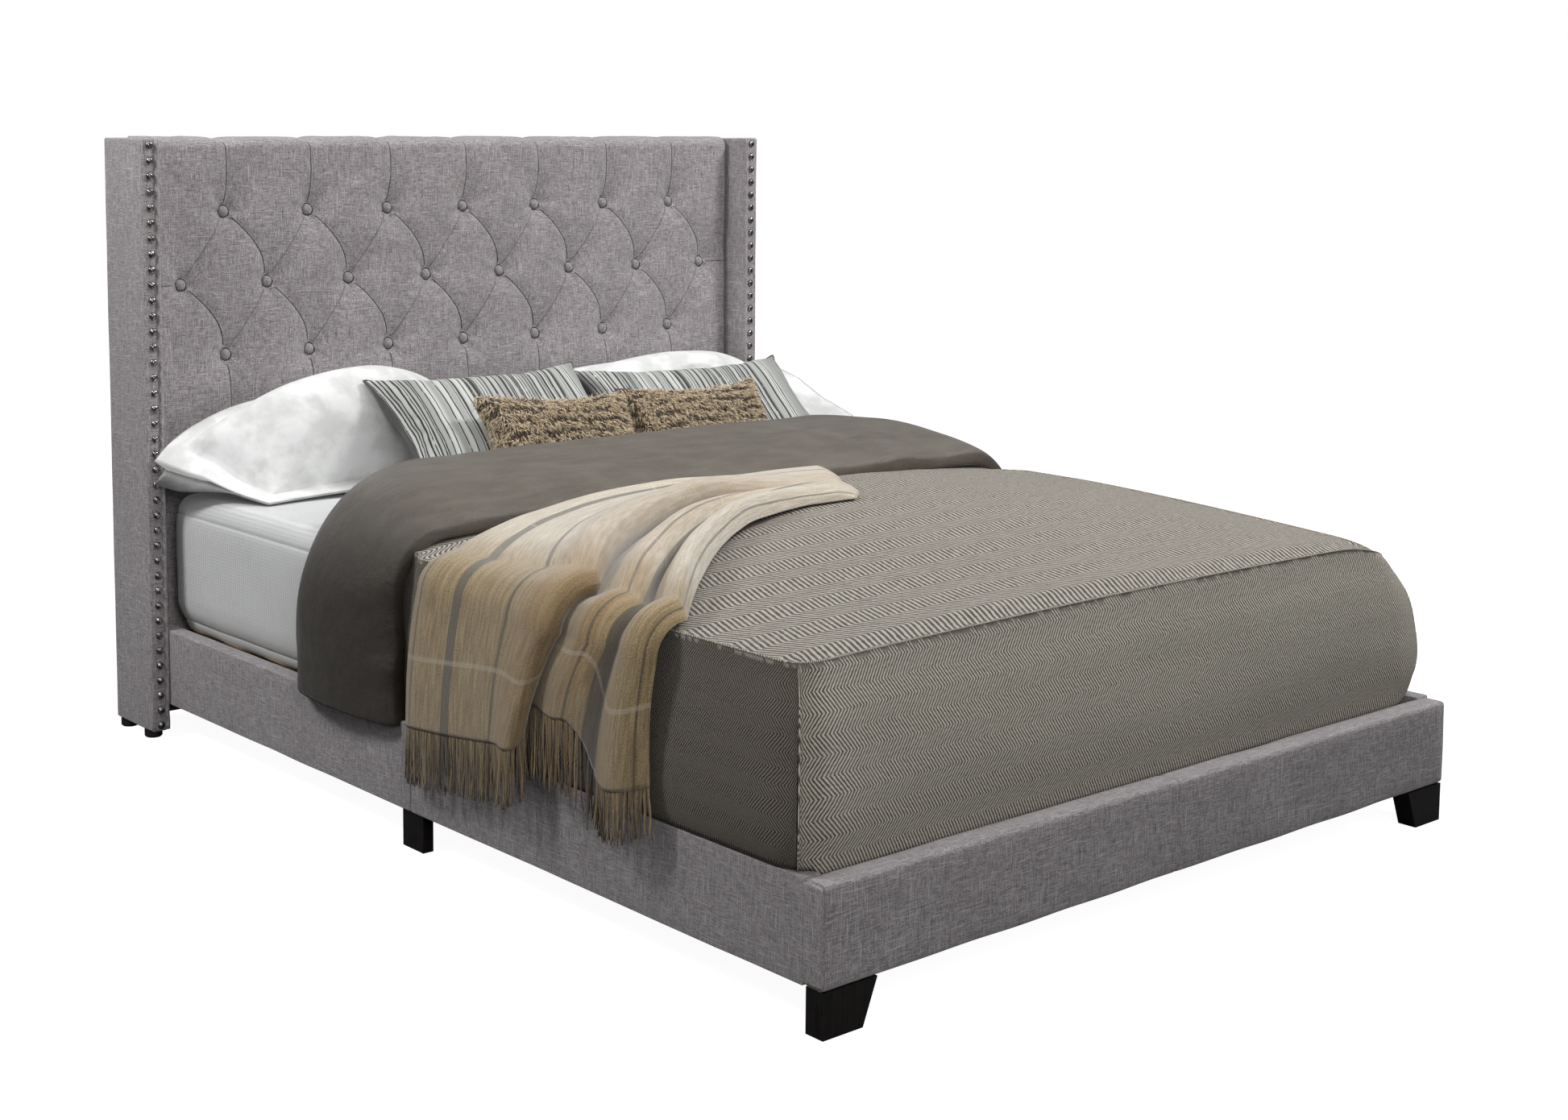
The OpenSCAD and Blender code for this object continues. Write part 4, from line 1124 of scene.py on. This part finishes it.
def sham(side):
    """A flanged sham lying back on the headboard, its outer end slack and past the mattress."""
    s = SHAMS[side]
    seed = s["seed"]
    nu, nv = 118, 78
    U, V = np.meshgrid(np.linspace(0, 1, nu), np.linspace(0, 1, nv), indexing="ij")
    marks = (0, 0.25, 0.6, 1)
    (f0, f1), (b0, b1) = s["front_x"], s["back_x"]
    front = [f0 + (f1 - f0) * U, through(marks, s["front_y"], U), through(marks, s["front_z"], U)]
    back = [b0 + (b1 - b0) * U, through(marks, s["back_y"], U), through(s["top"], s["back_z"], U)]
    rise = V - 0.05 * np.sin(2 * math.pi * V)
    sheet = points(*(f + (b - f) * share for f, b, share in zip(front, back, (V, V, rise))))
    across, along = SHAM_FLANGE / 0.76, SHAM_FLANGE / 0.42
    a = np.clip((U - across) / (1 - 2 * across), 0, 1)
    b = np.clip((V - along) / (1 - 2 * along), 0, 1)
    crown = s["crown"] * np.sin(math.pi * a) ** s["sharp"] * np.sin(math.pi * b) ** 0.66
    inside = (a > 0) & (a < 1) & (b > 0) & (b < 1)
    seam = -0.0032 * bell(np.minimum(np.minimum(a, 1 - a) * 0.66, np.minimum(b, 1 - b) * 0.32), 0.006)
    corner = np.hypot(a * 1.6, b)
    round_corner = np.arctan2(b + 0.02, a * 1.6 + 0.02)
    tug = 0.0065 * noise(round_corner * 7.5, corner * 1.4, seed) * bell(corner, 0.55)
    slack = 0.0060 * noise(U * 3.4, V * 2.6, seed + 1) + 0.0030 * noise(U * 9 + V * 3, V * 5, seed + 2)
    curl = 0.005 * noise(U * 9, V * 7, seed + 3) * ~inside
    normal = np.array([0.0, -0.50, 0.866])
    height = crown + (tug + slack) * np.minimum(1, crown / 0.03) + seam + curl + 0.003
    top = sheet + normal * height[..., None]
    under = sheet - normal * (0.35 * crown + 0.0025)[..., None]
    under[..., 2] -= s["gape"] * ease((0.16 - U) / 0.16) * ease((V - 0.25) / 0.6)
    under[..., 2] = np.maximum(under[..., 2], 0.5275 - 0.06 * ease((np.abs(sheet[..., 0]) - 0.775) / 0.04))
    under[..., 1] = np.minimum(under[..., 1], 0.975)
    top[..., 2] = np.maximum(top[..., 2], under[..., 2] + 0.004)
    ri, rj = border(nu, nv)
    inset = (top[ri, rj] + under[ri, rj]) / 2
    pull = np.minimum(0.030, 0.7 * np.linalg.norm(top[ri, rj] - under[ri, rj], axis=1))
    centre = sheet[nu // 2, nv // 2]
    inset += (centre - inset) / np.linalg.norm(centre - inset, axis=1, keepdims=True) * pull[:, None]
    verts = np.concatenate([top.reshape(-1, 3), under.reshape(-1, 3), inset])
    verts[:, 0] *= s["sign"]
    size = nu * nv
    faces = quads(nu, nv).tolist() + quads(nu, nv, size)[:, ::-1].tolist()
    flat = ri * nv + rj
    for k in range(len(flat)):
        m = (k + 1) % len(flat)
        faces.append([int(flat[k]), int(flat[m]), 2 * size + m, 2 * size + k])
        faces.append([int(flat[m]) + size, int(flat[k]) + size, 2 * size + k, 2 * size + m])
    hold = np.concatenate([~inside.ravel(), np.ones(size + len(flat), bool)])
    verts = inflate(verts, faces, 1.5, 0.012, hold)
    body = f"sham_{side}"
    piece(f"{body}_soft", verts, faces, body, "white_cotton", [body])


STRIPED = {"left": dict(at=(-0.158, 0.625, 0.655), size=(0.580, 0.345), spin=0.5, seed=91),
           "right": dict(at=(0.434, 0.625, 0.634), size=(0.650, 0.345), spin=-0.5, seed=92)}
STRIPED_LEAN, LUMBAR_LEAN = 43, 56
LUMBAR = {"left": dict(at=(-0.098, 0.474, 0.628), size=(0.405, 0.262), spin=-3.5, seed=95),
          "right": dict(at=(0.294, 0.474, 0.622), size=(0.420, 0.262), spin=-1.0, seed=96)}


def tufts(verts, faces, own, count, seed):
    """Short tapered tufts of fur on the faces, combed down, darker and shorter along wavy ridges."""
    rng = np.random.RandomState(seed)
    quad = verts[faces]
    cross = np.cross(quad[:, 2] - quad[:, 0], quad[:, 3] - quad[:, 1])
    area = np.linalg.norm(cross, axis=1)
    pick = rng.choice(len(faces), count, p=area / area.sum())
    s, t = rng.rand(count, 1), rng.rand(count, 1)

    def inside(q):
        return (q[:, 0] * (1 - s) + q[:, 1] * s) * (1 - t) + (q[:, 3] * (1 - s) + q[:, 2] * s) * t

    root, field = inside(quad[pick]), inside(own[faces][pick])
    normal = cross[pick] / area[pick][:, None]
    wave = np.sin(2 * math.pi * field[:, 1] / 0.030 + 2.6 * noise(field[:, 0] * 16, field[:, 1] * 9, seed)
                  + 1.2 * noise(field[:, 0] * 60, field[:, 1] * 30, seed + 1))
    patch = noise(field[:, 0] * 42, field[:, 1] * 26, seed + 2)
    ridge = ease((wave - 0.20) / 0.6) * ease((patch + 0.35) / 0.5)
    way = normal * 0.62 + np.array([0.0, -0.62, 0.0]) + rng.normal(0, 0.30, (count, 3))
    way /= np.linalg.norm(way, axis=1, keepdims=True)
    long = (0.0125 + 0.0060 * rng.rand(count)) * (1 - 0.35 * ridge)
    side = np.cross(way, rng.normal(0, 1, (count, 3)))
    side /= np.linalg.norm(side, axis=1, keepdims=True)
    other = np.cross(way, side)
    thick = 0.0011 + 0.0006 * rng.rand(count)
    rings = []
    for share, narrow in ((-0.12, 1.0), (0.5, 0.75)):
        mid = root + way * (long * share)[:, None]
        for turn in (0.0, 2.094, 4.189):
            rings.append(mid + (math.cos(turn) * side + math.sin(turn) * other) * (thick * narrow)[:, None])
    tip = root + way * long[:, None] + np.array([0.0, -0.0035, 0.0])
    out = np.stack(rings + [tip], 1)
    shade = np.clip(ridge * 0.75 + rng.uniform(-0.22, 0.22, count), 0, 1)
    lots = np.stack([shade + 0.22] * 3 + [shade + 0.02] * 3 + [shade - 0.15], 1)
    fields = points(field[:, :1], field[:, 1:2], np.clip(lots, 0, 1))
    base = np.arange(count)[:, None] * 7
    shape = [(0, 1, 4, 3), (1, 2, 5, 4), (2, 0, 3, 5)]
    faces_out = np.concatenate([base + np.array(f) for f in shape]).tolist()
    for f in ((3, 4, 6), (4, 5, 6), (5, 3, 6), (2, 1, 0)):
        faces_out += (base + np.array(f)).tolist()
    return out.reshape(-1, 3), faces_out, fields.reshape(-1, 3)


def pillows():
    for side in SHAMS:
        sham(side)
    for side, p in STRIPED.items():
        body, slot = f"striped_pillow_{side}", "striped_cotton"
        verts, faces, own, rim = sewn(*p["size"], 0.045, p["seed"], (100, 64))
        verts = placed(inflate(verts, faces, 4.0, 0.036), p["at"], STRIPED_LEAN, p["spin"])
        path = np.vstack([verts[rim], verts[rim[:1]]])
        made = piece(f"striped_{side}_soft", verts, faces, body, slot, [body], cloth=own)
        subdivide(made)
        verts, faces = tube(path, 0.0023, 8, ends=False)
        piece(f"striped_{side}_welt", verts, faces, body, slot, cloth=np.zeros_like(verts))
    for side, p in LUMBAR.items():
        body, slot = f"lumbar_pillow_{side}", "brown_fur"
        verts, faces, own, rim = sewn(*p["size"], 0.040, p["seed"], (84, 56))
        verts = inflate(verts, faces, 4.0, 0.028)
        hair, hair_faces, hair_own = tufts(verts, faces, own, 11000, p["seed"])
        verts = placed(verts, p["at"], LUMBAR_LEAN, p["spin"])
        made = piece(f"lumbar_{side}_soft", verts, faces, body, slot, [body],
                     cloth=own * [1, 1, 0] + [0, 0, 0.7])
        subdivide(made)
        hair = placed(hair, p["at"], LUMBAR_LEAN, p["spin"])
        piece(f"lumbar_{side}_fur", hair, hair_faces, body, slot, cloth=hair_own)


# ---- stage, light and camera ----

def stage():
    s = 14.0
    mesh = new_mesh("floor", [(-s, -s, 0), (s, -s, 0), (s, s, 0), (-s, s, 0)], [(0, 1, 2, 3)])
    m = Finish("floor_paper", Roughness=0.95, Specular_IOR_Level=0.0)
    seen = m.node("LightPath")
    paper = m.mix(m.noise(m.place(), 3.0), tone(150, 150, 150), tone(154, 154, 154))
    m.colour(m.mix(seen, tone(*FLOOR_BOUNCE), paper))
    m.bsdf.inputs["Emission Color"].default_value = (1, 1, 1, 1)
    m.feed(m.bsdf.inputs["Emission Strength"], m.times(seen, FLOOR_GLOW))
    mesh.materials.append(m.mat)
    add("floor", mesh)


def area_light(name, at, aim, size, power):
    data = bpy.data.lights.new(name, "AREA")
    data.shape, data.size, data.energy = "DISK", size, power
    lamp = add(name, data)
    lamp.location = at
    lamp.rotation_euler = (Vector(aim) - Vector(at)).to_track_quat("-Z", "Y").to_euler()


def lights():
    world = bpy.data.worlds.new("studio")
    bpy.context.scene.world = world
    world.use_nodes = True
    nodes, links = world.node_tree.nodes, world.node_tree.links
    back = nodes["Background"]
    back.inputs["Color"].default_value = (1, 1, 1, 1)
    back.inputs["Strength"].default_value = SKY
    seen = nodes.new("ShaderNodeBackground")
    seen.inputs["Color"].default_value = (1, 1, 1, 1)
    seen.inputs["Strength"].default_value = 1.0
    path, mix = nodes.new("ShaderNodeLightPath"), nodes.new("ShaderNodeMixShader")
    links.new(path.outputs["Is Camera Ray"], mix.inputs[0])
    links.new(back.outputs[0], mix.inputs[1])
    links.new(seen.outputs[0], mix.inputs[2])
    links.new(mix.outputs[0], nodes["World Output"].inputs["Surface"])
    for lamp in LAMPS:
        area_light(*lamp)


def camera():
    data = bpy.data.cameras.new("camera")
    data.sensor_width, data.lens = 36.0, 36.0 * FOCAL
    data.shift_x, data.shift_y = SHIFT
    data.clip_end = 60.0
    yaw, pitch, roll = (math.radians(a) for a in (YAW, PITCH, ROLL))
    ahead = Vector((-math.sin(yaw) * math.cos(pitch), math.cos(yaw) * math.cos(pitch), math.sin(pitch)))
    right = ahead.cross(Vector((0, 0, 1))).normalized()
    up = right.cross(ahead)
    right, up = (math.cos(roll) * right + math.sin(roll) * up, math.cos(roll) * up - math.sin(roll) * right)
    eye = add("camera", data)
    eye.matrix_world = Matrix((right, up, -ahead)).transposed().to_4x4()
    eye.location = CAMERA_AT
    bpy.context.scene.camera = eye


camera()
lights()
stage()
bpy.context.scene.view_settings.view_transform = "Standard"
finish_cad_nodes()
tufted_pad()
buttons()
lower_panel()
wings()
rails()
footboard()
mattress()
comforter()
fold_band()
throw()
pillows()
